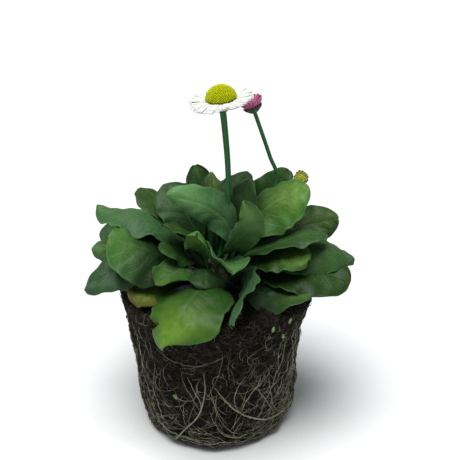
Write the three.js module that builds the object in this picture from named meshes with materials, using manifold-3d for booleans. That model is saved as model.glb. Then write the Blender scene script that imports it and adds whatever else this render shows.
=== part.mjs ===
// English daisy standing on its bare root ball, as lifted out of a nursery pot.
// Millimetres, +Z up. The ball's flat bottom lies on z = 0 and the viewer is at -Y.

import * as THREE from 'three';
import { mergeVertices } from 'three/addons/utils/BufferGeometryUtils.js';
import Module from 'manifold-3d';

const wasm = await Module();
wasm.setup();

// Driving dimensions

const GAP = 0.3;
const BALL_HEIGHT = 66;
const BALL_FOOT = 27;
const BALL_WAIST = 34.5;
const BALL_RIM = 42;
const BALL_LUMP = 0.55;
const CROWN_SUNK = 8;
const CROWN_RADIUS = 7.6;
const CROWN_TOP_RADIUS = 3.4;
const CROWN_RISE = 10;
const ROOT_RADIUS = 0.6;
const ROOT_PAIRS = 9;
const ROOT_CLEARANCE = 0.9;
const RAY_THICKNESS = 0.6;
const LEAF_THICKNESS = 0.8;
const STALK_THICKNESS = 1.1;
const STALK_WIDTH = 1.9;
const STALK_CLEARANCE = 1.05;

const SOIL_TOP = BALL_HEIGHT;
const CROWN_TOP = SOIL_TOP + CROWN_RISE;

// Colours

const MATERIALS = {
  soil: new THREE.MeshStandardMaterial({ color: 0x1f1712, roughness: 0.95, metalness: 0 }),
  root: new THREE.MeshStandardMaterial({ color: 0x8d8066, roughness: 0.8, metalness: 0 }),
  crown: new THREE.MeshStandardMaterial({ color: 0x6f8a4c, roughness: 0.7, metalness: 0 }),
  stem: new THREE.MeshStandardMaterial({ color: 0x2f6b34, roughness: 0.6, metalness: 0 }),
  leaf: new THREE.MeshStandardMaterial({ color: 0x39682f, roughness: 0.55, metalness: 0 }),
  yellowLeaf: new THREE.MeshStandardMaterial({ color: 0x7ea233, roughness: 0.55, metalness: 0 }),
  bract: new THREE.MeshStandardMaterial({ color: 0x24502a, roughness: 0.7, metalness: 0 }),
  whiteRay: new THREE.MeshStandardMaterial({ color: 0xf2f2f0, roughness: 0.7, metalness: 0 }),
  pinkRay: new THREE.MeshStandardMaterial({ color: 0xb8497f, roughness: 0.7, metalness: 0 }),
  creamRay: new THREE.MeshStandardMaterial({ color: 0xd9c7a0, roughness: 0.7, metalness: 0 }),
  disc: new THREE.MeshStandardMaterial({ color: 0xc9b71c, roughness: 0.8, metalness: 0 }),
  greenDisc: new THREE.MeshStandardMaterial({ color: 0xb6c21f, roughness: 0.8, metalness: 0 }),
};

// Helpers

const radians = THREE.MathUtils.degToRad;
const clamp01 = (value) => THREE.MathUtils.clamp(value, 0, 1);
const point = (x, y, z) => new THREE.Vector3(x, y, z);

/** A repeatable random draw between 0 and 1. */
function seeded(seed) {
  let state = seed;
  return () => {
    state = (state * 1664525 + 1013904223) % 4294967296;
    return state / 4294967296;
  };
}

/** A point at an angle and a distance from the Z axis. */
function polar(radius, angle, z) {
  return point(radius * Math.cos(angle), radius * Math.sin(angle), z);
}

/** A surface from a list of points and the triangles between them. */
function geometryOf(points, triangles) {
  const geometry = new THREE.BufferGeometry();
  const positions = points.flatMap((p) => p.toArray());
  geometry.setAttribute('position', new THREE.Float32BufferAttribute(positions, 3));
  geometry.setIndex(triangles);
  return geometry;
}

/** A closed skin over rings of equal count, with a fan about a point at each end. */
function loft(rings, start = null, end = null) {
  const count = rings[0].length;
  const points = rings.flat();
  const triangles = [];
  for (let i = 0; i + 1 < rings.length; i += 1) {
    for (let j = 0; j < count; j += 1) {
      const k = (j + 1) % count;
      const a = i * count + j;
      const b = i * count + k;
      triangles.push(a, b, b + count, a, b + count, a + count);
    }
  }
  const middle = (ring) => ring.reduce((sum, p) => sum.add(p), point(0, 0, 0)).divideScalar(count);
  const last = (rings.length - 1) * count;
  const startIndex = points.push(start ?? middle(rings[0])) - 1;
  const endIndex = points.push(end ?? middle(rings.at(-1))) - 1;
  for (let j = 0; j < count; j += 1) {
    const k = (j + 1) % count;
    triangles.push(startIndex, k, j, endIndex, last + j, last + k);
  }
  return geometryOf(points, triangles);
}

/** A ring of points round the Z axis; the radius may depend on the angle. */
function ring(count, z, radiusAt) {
  const radiusOf = typeof radiusAt === 'number' ? () => radiusAt : radiusAt;
  return Array.from({ length: count }, (_, j) => {
    const angle = (2 * Math.PI * j) / count;
    return polar(radiusOf(angle), angle, z);
  });
}

/** A tapered tube along a curve. */
function tube(curve, steps, sides, radiusAt) {
  const frames = curve.computeFrenetFrames(steps, false);
  const rings = [];
  for (let i = 0; i <= steps; i += 1) {
    const centre = curve.getPointAt(i / steps);
    const radius = radiusAt(i / steps);
    const turn = [];
    for (let j = 0; j < sides; j += 1) {
      const angle = (2 * Math.PI * j) / sides;
      const offset = frames.normals[i].clone().multiplyScalar(radius * Math.cos(angle));
      offset.addScaledVector(frames.binormals[i], radius * Math.sin(angle));
      turn.push(centre.clone().add(offset));
    }
    rings.push(turn);
  }
  return loft(rings);
}

/** A closed plate between two grids of points, both split into triangles alike. */
function plate(upper, lower) {
  const rows = upper.length;
  const columns = upper[0].length;
  const points = [...upper.flat(), ...lower.flat()];
  const under = rows * columns;
  const triangles = [];
  const quad = (a, b, c, d) => triangles.push(a, b, c, a, c, d);
  for (let i = 0; i + 1 < rows; i += 1) {
    for (let j = 0; j + 1 < columns; j += 1) {
      const a = i * columns + j;
      const c = a + columns + 1;
      triangles.push(a, a + columns, c, a, c, a + 1);
      triangles.push(under + a, under + c, under + a + columns, under + a, under + a + 1, under + c);
    }
    const left = i * columns;
    const right = left + columns - 1;
    quad(left, under + left, under + left + columns, left + columns);
    quad(right, right + columns, under + right + columns, under + right);
  }
  const tip = (rows - 1) * columns;
  for (let j = 0; j + 1 < columns; j += 1) {
    quad(j, j + 1, under + j + 1, under + j);
    quad(tip + j, under + tip + j, under + tip + j + 1, tip + j + 1);
  }
  return geometryOf(points, triangles);
}

// Joins and cuts

/** The solid that a closed surface bounds. */
function toSolid(geometry) {
  const bare = geometry.clone();
  bare.deleteAttribute('normal');
  bare.deleteAttribute('uv');
  const merged = mergeVertices(bare, 1e-5);
  return new wasm.Manifold(new wasm.Mesh({
    numProp: 3,
    vertProperties: new Float32Array(merged.attributes.position.array),
    triVerts: new Uint32Array(merged.index.array),
  }));
}

function toGeometry(solid) {
  const mesh = solid.getMesh();
  const geometry = new THREE.BufferGeometry();
  geometry.setAttribute('position', new THREE.BufferAttribute(new Float32Array(mesh.vertProperties), 3));
  geometry.setIndex(new THREE.BufferAttribute(new Uint32Array(mesh.triVerts), 1));
  return geometry;
}

/** One closed surface round several that overlap. */
function fuse(geometries) {
  return toGeometry(geometries.map(toSolid).reduce((whole, next) => whole.add(next)));
}

const part = new THREE.Group();

/** Hangs a named node on the part or on one of its groups. */
function place(name, geometry, material, parent = part) {
  const mesh = new THREE.Mesh(geometry, MATERIALS[material]);
  mesh.name = name;
  parent.add(mesh);
  return mesh;
}

// Root ball

const BALL_SIDE = [
  [BALL_FOOT, 0],
  [BALL_FOOT + 3.5, 1],
  [BALL_WAIST - 1.5, 4],
  [BALL_WAIST - 0.3, 9],
  [BALL_WAIST, 22],
  [BALL_WAIST + 1.1, 36],
  [BALL_WAIST + 3, 49],
  [BALL_RIM - 1.6, 59],
  [BALL_RIM, 63.5],
  [BALL_RIM - 1.5, BALL_HEIGHT],
];
const BALL_TOP = [
  [35, BALL_HEIGHT + 0.4],
  [26, BALL_HEIGHT - 0.5],
  [17, BALL_HEIGHT + 0.2],
  [11, BALL_HEIGHT],
];
const BALL_COLUMNS = 44;
const CROWN_SIDES = 16;
const HOLE_MARGIN = 3;
const ROOT_STEPS = 9;
const ROOT_SIDES = 4;

/** The bulges that the peat's surface has, zero at the flat foot. */
function lump(angle, z) {
  const swell = Math.sin(3 * angle + 0.11 * z) + 0.7 * Math.sin(7 * angle - 0.23 * z + 1);
  const grain = 0.6 * Math.sin(13 * angle + 0.37 * z + 2);
  return BALL_LUMP * clamp01(z / 5) * (swell + grain);
}

/** The ball's radius at a height, without its bulges. */
function ballRadius(z) {
  const upper = BALL_SIDE.findIndex(([, height]) => height >= z);
  const [r1, z1] = BALL_SIDE[upper];
  const [r0, z0] = BALL_SIDE[Math.max(upper - 1, 0)];
  return z1 === z0 ? r1 : r0 + ((r1 - r0) * (z - z0)) / (z1 - z0);
}

/** The peat, with its plain hole for the crown. */
function soil() {
  const rings = [];
  for (const [radius, z] of BALL_SIDE) {
    rings.push(ring(BALL_COLUMNS, z, (angle) => radius + lump(angle, z)));
  }
  for (const [radius, z] of BALL_TOP) {
    const level = ring(BALL_COLUMNS, z, radius);
    level.forEach((p) => {
      p.z += 0.5 * Math.sin(0.3 * p.x + 1) * Math.sin(0.27 * p.y) * clamp01((radius - 10) / 8);
    });
    rings.push(level);
  }
  const hole = loft([
    ring(CROWN_SIDES, SOIL_TOP - CROWN_SUNK, CROWN_RADIUS + GAP),
    ring(CROWN_SIDES, SOIL_TOP + HOLE_MARGIN, CROWN_RADIUS + GAP),
  ]);
  return toGeometry(toSolid(loft(rings)).subtract(toSolid(hole)));
}

/** Roots that wind round the ball both ways and grow together where they cross. */
function roots() {
  const random = seeded(11);
  const tubes = [];
  for (let i = 0; i < ROOT_PAIRS; i += 1) {
    for (const hand of [1, -1]) {
      const start = (2 * Math.PI * (i + 0.6 * random())) / ROOT_PAIRS;
      const span = hand * (0.8 + 0.5 * random());
      const low = 3.5 + 6 * random();
      const high = 42 + 19 * random();
      const sway = 0.06 * (random() - 0.5);
      const path = [];
      for (let k = 0; k <= ROOT_STEPS; k += 1) {
        const t = k / ROOT_STEPS;
        const z = low + (high - low) * t;
        const angle = start + span * t + sway * Math.sin(9 * t);
        const radius = ballRadius(z) + lump(angle, z) + ROOT_CLEARANCE + ROOT_RADIUS;
        path.push(polar(radius, angle, z));
      }
      tubes.push(tube(new THREE.CatmullRomCurve3(path), ROOT_STEPS, ROOT_SIDES, () => ROOT_RADIUS));
    }
  }
  return fuse(tubes);
}

/** The crown's radius at a height: full in the peat, tapering above it. */
function crownRadius(z) {
  return THREE.MathUtils.lerp(CROWN_RADIUS, CROWN_TOP_RADIUS, clamp01((z - SOIL_TOP) / CROWN_RISE));
}

/** The short rootstock, sunk in a plain hole in the peat, that leaves and stems spring from. */
function crown() {
  const levels = [SOIL_TOP - CROWN_SUNK + GAP, SOIL_TOP, SOIL_TOP + CROWN_RISE / 2, CROWN_TOP];
  return loft(levels.map((z) => ring(CROWN_SIDES, z, crownRadius(z))));
}

const obstacles = [
  place('soil', soil(), 'soil'),
  place('roots', roots(), 'root'),
  place('crown', crown(), 'crown'),
];

// Flower heads

const RAY_SHAPE = [0.6, 0.95, 1, 0.5];

/** A ray: a bent strap that points away from the head's axis, its width following the ray's shape. */
function strap({ angle, from, z, length, width, slope, bend }) {
  const out = point(Math.cos(angle), Math.sin(angle), 0);
  const side = point(-Math.sin(angle), Math.cos(angle), 0);
  const upper = [];
  const lower = [];
  RAY_SHAPE.forEach((share, i) => {
    const t = i / (RAY_SHAPE.length - 1);
    const pitch = radians(slope + bend * t);
    const meanPitch = radians(slope + (bend * t) / 2);
    const centre = out.clone().multiplyScalar(from + length * t * Math.cos(meanPitch));
    centre.z = z + length * t * Math.sin(meanPitch);
    const normal = out.clone().multiplyScalar(-Math.sin(pitch)).setZ(Math.cos(pitch));
    const rowUp = [];
    const rowDown = [];
    for (const hand of [-1, 1]) {
      const edge = centre.clone().addScaledVector(side, (hand * share * width) / 2);
      rowUp.push(edge.clone().addScaledVector(normal, RAY_THICKNESS / 2));
      rowDown.push(edge.clone().addScaledVector(normal, -RAY_THICKNESS / 2));
    }
    upper.push(rowUp);
    lower.push(rowDown);
  });
  return plate(upper, lower);
}

/** A round plate about the head's axis, that a head's rays grow from. */
function rayPlate(radius, thickness, sides) {
  return loft([ring(sides, 0, radius), ring(sides, thickness, radius)]);
}

const CUP_SIDE = [[0.62, 0.7], [0.95, 0.35]];
const BRACT_RIDGE = 0.12;
const BRACT_LIFT = 0.2;

/** The green cup under a head: every second facet is raised into the ridge of a bract. */
function involucre({ radius, depth, stem, bracts }) {
  const sides = 2 * bracts;
  const ridged = (z, r, lift) => {
    const level = ring(sides, z, r);
    level.filter((_, j) => j % 2 === 0).forEach((p) => {
      p.multiply(point(1 + BRACT_RIDGE, 1 + BRACT_RIDGE, 1));
      p.z += lift;
    });
    return level;
  };
  return loft([
    ring(sides, -depth, stem),
    ...CUP_SIDE.map(([width, height]) => ridged(-depth * height, radius * width, BRACT_LIFT)),
    ridged(-GAP, radius, 0),
  ]);
}

const DISC_FOOT = 0.94;
const KNOB_RISE = 0.055;
const KNOB_DIP = 0.03;

/** The dome of florets: rows of knobs raised from it, each row turned by half a knob. */
function disc({ radius, height, rows, knobs, base }) {
  const count = 2 * knobs;
  const rings = [ring(count, base, radius * DISC_FOOT)];
  for (let i = 0; i < rows; i += 1) {
    const tilt = (Math.PI / 2) * (1 - (i + 0.3) / (rows + 0.3));
    const level = ring(count, base + height * Math.cos(tilt), radius * Math.sin(tilt));
    level.forEach((p, j) => {
      const raise = radius * ((j + i) % 2 === 0 ? KNOB_RISE : -KNOB_DIP);
      const outward = point(p.x, p.y, 0).normalize().multiplyScalar(raise * Math.sin(tilt));
      p.add(outward);
      p.z += raise * Math.cos(tilt);
    });
    rings.push(level);
  }
  return loft(rings, null, point(0, 0, base + height));
}

/** A head's group, with its axis leaning from upright towards a compass angle. */
function headGroup({ centre, lean, towards }) {
  const group = new THREE.Group();
  group.position.set(...centre);
  const axis = point(-Math.sin(radians(towards)), Math.cos(radians(towards)), 0);
  group.quaternion.setFromAxisAngle(axis, radians(lean));
  part.add(group);
  return group;
}

const HEADS = {
  white: {
    centre: [2.7, 2, 146.4],
    lean: 7,
    towards: 190,
    cup: { radius: 5.4, depth: 4.2, stem: 1.7, bracts: 13 },
    disc: { radius: 6.2, height: 5.3, rows: 7, knobs: 14, base: 1.3 },
  },
  pink: {
    centre: [14.8, 18, 139.5],
    lean: 20,
    towards: 172,
    cup: { radius: 3.6, depth: 3, stem: 1.1, bracts: 11 },
    disc: { radius: 2.3, height: 1.4, rows: 3, knobs: 8, base: 1.1 },
  },
  bud: {
    centre: [36.5, 15, 107.8],
    lean: 56,
    towards: -95,
    cup: { radius: 2.7, depth: 3, stem: 1, bracts: 10 },
    disc: { radius: 2.1, height: 1.3, rows: 3, knobs: 8, base: 1.1 },
  },
};

/** The open head's narrow rays, in two layers, that hang down more at its front. */
function whiteRays() {
  const random = seeded(5);
  const plateRadius = 6.4;
  const plateThickness = 0.45;
  const pieces = [rayPlate(plateRadius, plateThickness, 24)];
  for (const [layer, count] of [[0, 20], [1, 17]]) {
    for (let i = 0; i < count; i += 1) {
      const angle = (2 * Math.PI * (i + 0.5 * layer + 0.3 * (random() - 0.5))) / count;
      const front = clamp01(-Math.sin(angle));
      pieces.push(strap({
        angle,
        from: plateRadius - 1.2,
        z: 0.1 + 0.25 * layer,
        length: 7.9 + 0.7 * random() - 0.5 * layer,
        width: 2.2 + 0.3 * random(),
        slope: 17 + 8 * layer,
        bend: -20 - 32 * front - 8 * random(),
      }));
    }
  }
  return fuse(pieces);
}

/** Half open rays that stand up round the disc as a cup. */
function cupRays({ radius, length, count, slope, bend, width }, seed) {
  const random = seeded(seed);
  const plateThickness = 0.8;
  const pieces = [rayPlate(radius, plateThickness, 13)];
  for (let i = 0; i < count; i += 1) {
    pieces.push(strap({
      angle: (2 * Math.PI * (i + 0.3 * (random() - 0.5))) / count,
      from: radius - 0.55,
      z: plateThickness / 2,
      length: length * (0.9 + 0.2 * random()),
      width,
      slope: slope + 8 * (random() - 0.5),
      bend,
    }));
  }
  return fuse(pieces);
}

/** A head's three nodes: its cup, its rays and its disc. */
function buildHead(kind, rays, rayMaterial, discMaterial) {
  const spec = HEADS[kind];
  const group = headGroup(spec);
  return [
    place(`${kind}_involucre`, involucre(spec.cup), 'bract', group),
    place(`${kind}_rays`, rays, rayMaterial, group),
    place(`${kind}_disc`, disc(spec.disc), discMaterial, group),
  ];
}

buildHead('white', whiteRays(), 'whiteRay', 'disc');
const pinkRayForm = { radius: 3.6, length: 3.1, count: 16, slope: 50, bend: 20, width: 1.8 };
buildHead('pink', cupRays(pinkRayForm, 7), 'pinkRay', 'greenDisc');
const budRayForm = { radius: 2.7, length: 2, count: 12, slope: 60, bend: 10, width: 1.5 };
obstacles.push(...buildHead('bud', cupRays(budRayForm, 9), 'creamRay', 'greenDisc'));

// Flower stems, from the crown's top to just under each head's cup

const STEMS = {
  white: {
    via: [[1.6, -1.4, CROWN_TOP + 0.5], [1.8, -1.4, 79], [3.4, -1, 87], [5.4, 0.6, 112]],
    base: 1.05,
    neck: 1.4,
  },
  pink: {
    via: [[1.5, 1.6, CROWN_TOP + 0.5], [1.9, 1.9, 78], [11, 8.5, 87], [26.5, 16.5, 106], [23.1, 17.4, 117]],
    base: 0.85,
    neck: 0.9,
  },
  bud: {
    via: [[6.1, 2.4, 72.5], [15, 7, 80], [29, 13, 93]],
    base: 0.8,
    neck: 0.85,
  },
};
const NECK_LENGTH = 3;
const STEM_STEPS = 14;
const STEM_SIDES = 8;

/** A stem that runs along its way points and straight into the foot of its head. */
function stem(kind) {
  const { via, base, neck } = STEMS[kind];
  const spec = HEADS[kind];
  const axis = polar(Math.sin(radians(spec.lean)), radians(spec.towards), Math.cos(radians(spec.lean)));
  const end = point(...spec.centre).addScaledVector(axis, -(spec.cup.depth + GAP));
  const before = end.clone().addScaledVector(axis, -NECK_LENGTH);
  const path = via.map((at) => point(...at));
  const curve = new THREE.CatmullRomCurve3([...path, before, end], false, 'centripetal');
  return tube(curve, STEM_STEPS, STEM_SIDES, (t) => THREE.MathUtils.lerp(base, neck, t));
}

for (const kind of Object.keys(STEMS)) {
  obstacles.push(place(`${kind}_stem`, stem(kind), 'stem'));
}

// Leaves

const TIER_RISE = 2.1;
const TIER_START = 1.4;
const STALK_SHARE = 0.12;
const LEAF_STATIONS = [0, 0.14, 0.28, 0.42, 0.56, 0.7, 0.84, 0.94, 0.995];
const LEAF_COLUMNS = 5;
const SPINE_STEPS = 60;
const ROLL_START = 0.08;
const ROLL_LENGTH = 0.5;
const BLADE_START = 0.3;
const BLADE_SPREAD = 0.25;
const RIPPLE_TURNS = 1.6;
const RIPPLE_OFFSET = 1.7;
const RIPPLE_WIDTH = 24;
const FOLD_ROUNDING = 0.05;

/** The blade's share of its full width along the leaf: a slim stalk that widens to a spoon. */
function spoon(s, widest, blunt) {
  if (s > widest) {
    return Math.sqrt(1 - ((s - widest) / (1 - widest)) ** blunt);
  }
  return Math.sin(clamp01((s - STALK_SHARE) / (widest - STALK_SHARE)) * (Math.PI / 2)) ** 1.15;
}

/** Points and directions along a leaf's midrib, which rises from the crown and bends over to its tip. */
function midrib({ tip, rise, tier, reach, sway, foot, roll }) {
  const end = point(...tip);
  const heading = Math.atan2(end.y, end.x) + radians(sway);
  const z = SOIL_TOP + TIER_START + TIER_RISE * (tier - 1);
  const base = polar(crownRadius(z) + STALK_CLEARANCE, heading + radians(foot), z);
  const pull = reach * end.distanceTo(base);
  const climb = polar(pull * Math.cos(radians(rise)), heading, pull * Math.sin(radians(rise)));
  const middle = base.clone().add(climb);
  const curve = new THREE.QuadraticBezierCurve3(base, middle, end);
  const stations = [];
  let side = polar(1, heading + Math.PI / 2, 0);
  let run = 0;
  for (let i = 0; i <= SPINE_STEPS; i += 1) {
    const u = i / SPINE_STEPS;
    const at = curve.getPoint(u);
    const along = middle.clone().sub(base).multiplyScalar(2 * (1 - u));
    along.addScaledVector(end.clone().sub(middle), 2 * u).normalize();
    side = side.clone().addScaledVector(along, -side.dot(along)).normalize();
    run += i ? at.distanceTo(stations[i - 1].at) : 0;
    stations.push({ at, along, side, run });
  }
  return stations.map((station) => {
    const s = station.run / run;
    const up = station.along.clone().cross(station.side);
    const turn = radians(roll) * clamp01((s - ROLL_START) / ROLL_LENGTH);
    const rolledSide = station.side.clone().applyAxisAngle(station.along, turn);
    const rolledUp = up.applyAxisAngle(station.along, turn);
    return { s, at: station.at, side: rolledSide, up: rolledUp };
  });
}

/** The midrib's point and directions at a share of its length. */
function along(stations, s) {
  const next = Math.max(1, stations.findIndex((station) => station.s >= s));
  const a = stations[next - 1];
  const b = stations[next];
  const mix = (s - a.s) / (b.s - a.s);
  return {
    at: a.at.clone().lerp(b.at, mix),
    side: a.side.clone().lerp(b.side, mix),
    up: a.up.clone().lerp(b.up, mix),
  };
}

/** A leaf's solid, grown all round by a margin when it is used to test for room. */
function leafPlate(leaf, margin) {
  const stations = midrib(leaf);
  const fold = radians(leaf.cup);
  const upper = [];
  const lower = [];
  for (const s of LEAF_STATIONS) {
    const { at, side, up } = along(stations, s);
    const bladeWidth = leaf.width * spoon(s, leaf.widest, leaf.blunt);
    const halfWidth = Math.max(STALK_WIDTH, bladeWidth) / 2 + margin;
    const thickness = THREE.MathUtils.lerp(STALK_THICKNESS, LEAF_THICKNESS, clamp01(s / BLADE_START));
    const half = thickness / 2 + margin;
    const swing = leaf.wave * (leaf.width / RIPPLE_WIDTH) * clamp01((s - BLADE_START) / BLADE_SPREAD);
    const rowUp = [];
    const rowDown = [];
    for (let j = 0; j < LEAF_COLUMNS; j += 1) {
      const t = (2 * j) / (LEAF_COLUMNS - 1) - 1;
      const phase = radians(leaf.phase) + (t > 0 ? RIPPLE_OFFSET : 0);
      const ripple = swing * Math.abs(t) ** 1.5 * Math.sin(2 * Math.PI * RIPPLE_TURNS * s + phase);
      const bend = Math.sqrt(t * t + FOLD_ROUNDING) - Math.sqrt(FOLD_ROUNDING);
      const middle = at.clone().addScaledVector(side, halfWidth * t * Math.cos(fold));
      middle.addScaledVector(up, halfWidth * bend * Math.sin(fold) + ripple);
      rowUp.push(middle.clone().addScaledVector(up, half));
      rowDown.push(middle.clone().addScaledVector(up, -half));
    }
    upper.push(rowUp);
    lower.push(rowDown);
  }
  return plate(upper, lower);
}

// What a leaf may change to clear its neighbours. The larger its ease, the more readily it changes.
const NUDGES = {
  turn: { steps: [0, 5, -5, 10, -10], ease: 3 },
  sway: { steps: [0, 12, -12, 24, -24], ease: 12 },
  lift: { steps: [0, 3, -3, 6, -6], ease: 2 },
  roll: { steps: [0, 15, -15], ease: 8 },
  rise: { steps: [0, 10, -10], ease: 10 },
  tier: { steps: [0, 0.7, -0.7], ease: 1 },
};
const NUDGES_TRIED = 1400;

/** The changes of pose that are tried for a leaf, gentlest first. */
function nudges() {
  let list = [{ cost: 0 }];
  for (const [change, { steps, ease }] of Object.entries(NUDGES)) {
    list = list.flatMap((nudge) => steps.map((step) => (
      { ...nudge, [change]: step, cost: nudge.cost + Math.abs(step) / ease }
    )));
  }
  return list.sort((a, b) => a.cost - b.cost).slice(0, NUDGES_TRIED);
}

/** A leaf with a change of pose. */
function nudged(leaf, { turn, sway, lift, roll, rise, tier }) {
  const tip = point(...leaf.tip).applyAxisAngle(point(0, 0, 1), radians(turn));
  tip.z += lift;
  return {
    ...leaf,
    tip: tip.toArray(),
    sway: leaf.sway + sway,
    roll: leaf.roll + roll,
    rise: leaf.rise + rise,
    tier: leaf.tier + tier,
  };
}

// Each leaf: where its tip lies, how steeply it leaves the crown (rise), the tier of the crown that
// it springs from (outermost first) and its width, with its roll, fold (cup), edge ripple (wave),
// the turn of its first direction (sway), how far it holds that direction (reach), how far round
// the crown its stalk springs (foot), and the blade's outline (widest, blunt) where they matter.
const LEAVES = [
  {
    tip: [-17, -46, 61], rise: 32, tier: 1, width: 31, roll: 4, cup: -14,
    wave: 1.2, sway: 8, reach: 0.74, widest: 0.44, blunt: 3.4, yellow: true,
  },
  {
    tip: [-43, -12, 93], rise: 32, tier: 3, width: 31, roll: -38, cup: -6,
    wave: 1, sway: 8, widest: 0.6,
  },
  {
    tip: [38.5, 3, 108.5], rise: 60, tier: 4, width: 24, roll: 24, cup: -8,
    wave: 1.4, sway: 4, reach: 0.6, widest: 0.66,
  },
  {
    tip: [-18, -5, 108], rise: 104, tier: 5, width: 15, roll: -70, cup: -5,
    wave: 1.2, foot: 145, reach: 0.75, widest: 0.6,
  },
  {
    tip: [12, -14, 109], rise: 40, tier: 5, width: 14, roll: -50, cup: -14,
    wave: 0.5, sway: 20, foot: -90, reach: 0.9, widest: 0.5,
  },
  { tip: [54, -14, 74], rise: 28, tier: 1, width: 30, roll: 18, cup: 8, wave: 0.8, reach: 0.6 },
  { tip: [56, -6, 77], rise: 42, tier: 2, width: 25, roll: 16, cup: -22, wave: 0.8, reach: 0.7 },
  { tip: [39, -22, 75], rise: 12, tier: 1, width: 21, roll: 16, cup: 6, wave: 0.8, sway: -16 },
  {
    tip: [-50, 9, 98], rise: 58, tier: 4, width: 24, roll: -8, cup: -26,
    wave: 1, sway: 6, reach: 0.6,
  },
  { tip: [2, -46.5, 73], rise: 42, tier: 2, width: 15, roll: 36, cup: 14, wave: 1, sway: 30 },
  { tip: [-24, -24, 78], rise: 54, tier: 2, width: 15, roll: -20, cup: 12, wave: 1, sway: 4 },
  {
    tip: [7, -28, 84], rise: 60, tier: 4, width: 21, roll: -16, cup: 30,
    wave: 0.4, sway: -8, reach: 0.6, widest: 0.6,
  },
  { tip: [38, -16, 84], rise: 42, tier: 2, width: 21, roll: 12, cup: 14, wave: 0.8, sway: -12 },
  { tip: [-7, -15, 96], rise: 80, tier: 4.5, width: 12, roll: 25, cup: -10, wave: 0.6, reach: 0.6 },
  { tip: [-4, -26, 77], rise: 64, tier: 2.6, width: 16, cup: -10, wave: 0.5, sway: 0, reach: 0.7 },
  {
    tip: [-52, -17, 73], rise: 38, tier: 2, width: 20, roll: -25, cup: 8,
    wave: 2, sway: -4, widest: 0.55, blunt: 1.7,
  },
  { tip: [-31, -27, 69], rise: 14, tier: 1, width: 18, roll: -10, cup: -5, wave: 1, sway: -25 },
  {
    tip: [-53, -1, 82], rise: 42, tier: 2, width: 17, roll: -30, cup: -10,
    wave: 1, sway: -4, reach: 0.7,
  },
  { tip: [-23, 17, 104], rise: 68, tier: 4, width: 22, roll: -22, cup: 10, wave: 1 },
  { tip: [-9, 25, 109], rise: 74, tier: 4.5, width: 14, roll: -10, cup: 14, wave: 0.6, sway: 20 },
  { tip: [13, 7, 111], rise: 84, tier: 5, width: 15, roll: 10, cup: 12, wave: 0.5, sway: -20 },
  { tip: [13, 22, 108], rise: 74, tier: 4, width: 16, roll: 0, cup: 12, wave: 0.5, sway: 8 },
  { tip: [2, 20, 108], rise: 78, tier: 5, width: 10, roll: 30, cup: 20, wave: 0.5, sway: -8 },
  { tip: [31, 20, 109], rise: 52, tier: 3, width: 20, roll: 10, cup: 20, wave: 0.5 },
  { tip: [53, 12, 90], rise: 36, tier: 2, width: 20, roll: 30, cup: 5, wave: 0.5, sway: 6 },
  { tip: [60, 2, 82], rise: 34, tier: 1, width: 15, roll: 8, cup: 24, wave: 0.5, sway: 12 },
  { tip: [46, -5, 91], rise: 46, tier: 3, width: 18, roll: 14, cup: 22, wave: 0.8, sway: 4 },
  { tip: [-21, -8, 97], rise: 70, tier: 5, width: 12, roll: 20, cup: 16, wave: 0.8, sway: -4 },
  { tip: [-23, -14, 88], rise: 46, tier: 3, width: 13, roll: -24, cup: 16, wave: 0.8, sway: -4 },
  { tip: [50, 26, 78], rise: 34, tier: 1, width: 24, roll: 10 },
  { tip: [36, 40, 82], rise: 42, tier: 2, width: 24 },
  { tip: [12, 50, 77], rise: 34, tier: 1, width: 26, cup: 12 },
  { tip: [-14, 50, 82], rise: 46, tier: 2, width: 25 },
  { tip: [-38, 38, 77], rise: 34, tier: 1, width: 25, cup: -10 },
  { tip: [-52, 18, 80], rise: 36, tier: 2, width: 24, roll: -10 },
  { tip: [-34, 26, 98], rise: 60, tier: 3, width: 22, roll: -10 },
  { tip: [-8, 38, 98], rise: 56, tier: 3.3, width: 21, cup: 14, sway: -12 },
  { tip: [18, 42, 92], rise: 50, tier: 2, width: 20, sway: 6, foot: 24 },
];
const PLAIN_LEAF = {
  roll: 0,
  cup: 8,
  wave: 1,
  sway: 0,
  reach: 0.55,
  foot: 0,
  widest: 0.65,
  blunt: 2.1,
  yellow: false,
};
const PHASE_STEP = 97;

/** A surface's bounding box. */
function box(geometry) {
  geometry.computeBoundingBox();
  return geometry.boundingBox;
}

/** Whether a trial solid meets anything that stands already. */
function meets(trial, trialBox, standing) {
  return standing.some((other) => (
    trialBox.intersectsBox(other.box) && trial.intersect(other.solid).getMesh().triVerts.length > 0
  ));
}

/** What a placed node takes up, in the part's own frame. */
function standingOf(mesh) {
  mesh.updateWorldMatrix(true, false);
  const geometry = mesh.geometry.clone().applyMatrix4(mesh.matrixWorld);
  return { solid: toSolid(geometry), box: box(geometry) };
}

/** Every leaf, each in the gentlest pose that leaves a gap to what stands already. */
function placeLeaves() {
  const standing = obstacles.map(standingOf);
  const poses = nudges();
  LEAVES.forEach((row, i) => {
    const name = `leaf_${String(i + 1).padStart(2, '0')}`;
    const leaf = { ...PLAIN_LEAF, phase: PHASE_STEP * i, ...row };
    const pose = poses.find((nudge) => {
      const trial = leafPlate(nudged(leaf, nudge), GAP);
      return !meets(toSolid(trial), box(trial), standing);
    });
    if (!pose) {
      throw new Error(`${name} has no room`);
    }
    const mesh = place(name, leafPlate(nudged(leaf, pose), 0), leaf.yellow ? 'yellowLeaf' : 'leaf');
    standing.push(standingOf(mesh));
  });
}

placeLeaves();

export default part;
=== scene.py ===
import itertools
import math
import random
from math import pi, radians, tau

import bpy
import numpy as np
from mathutils import Matrix, Vector, noise


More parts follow.
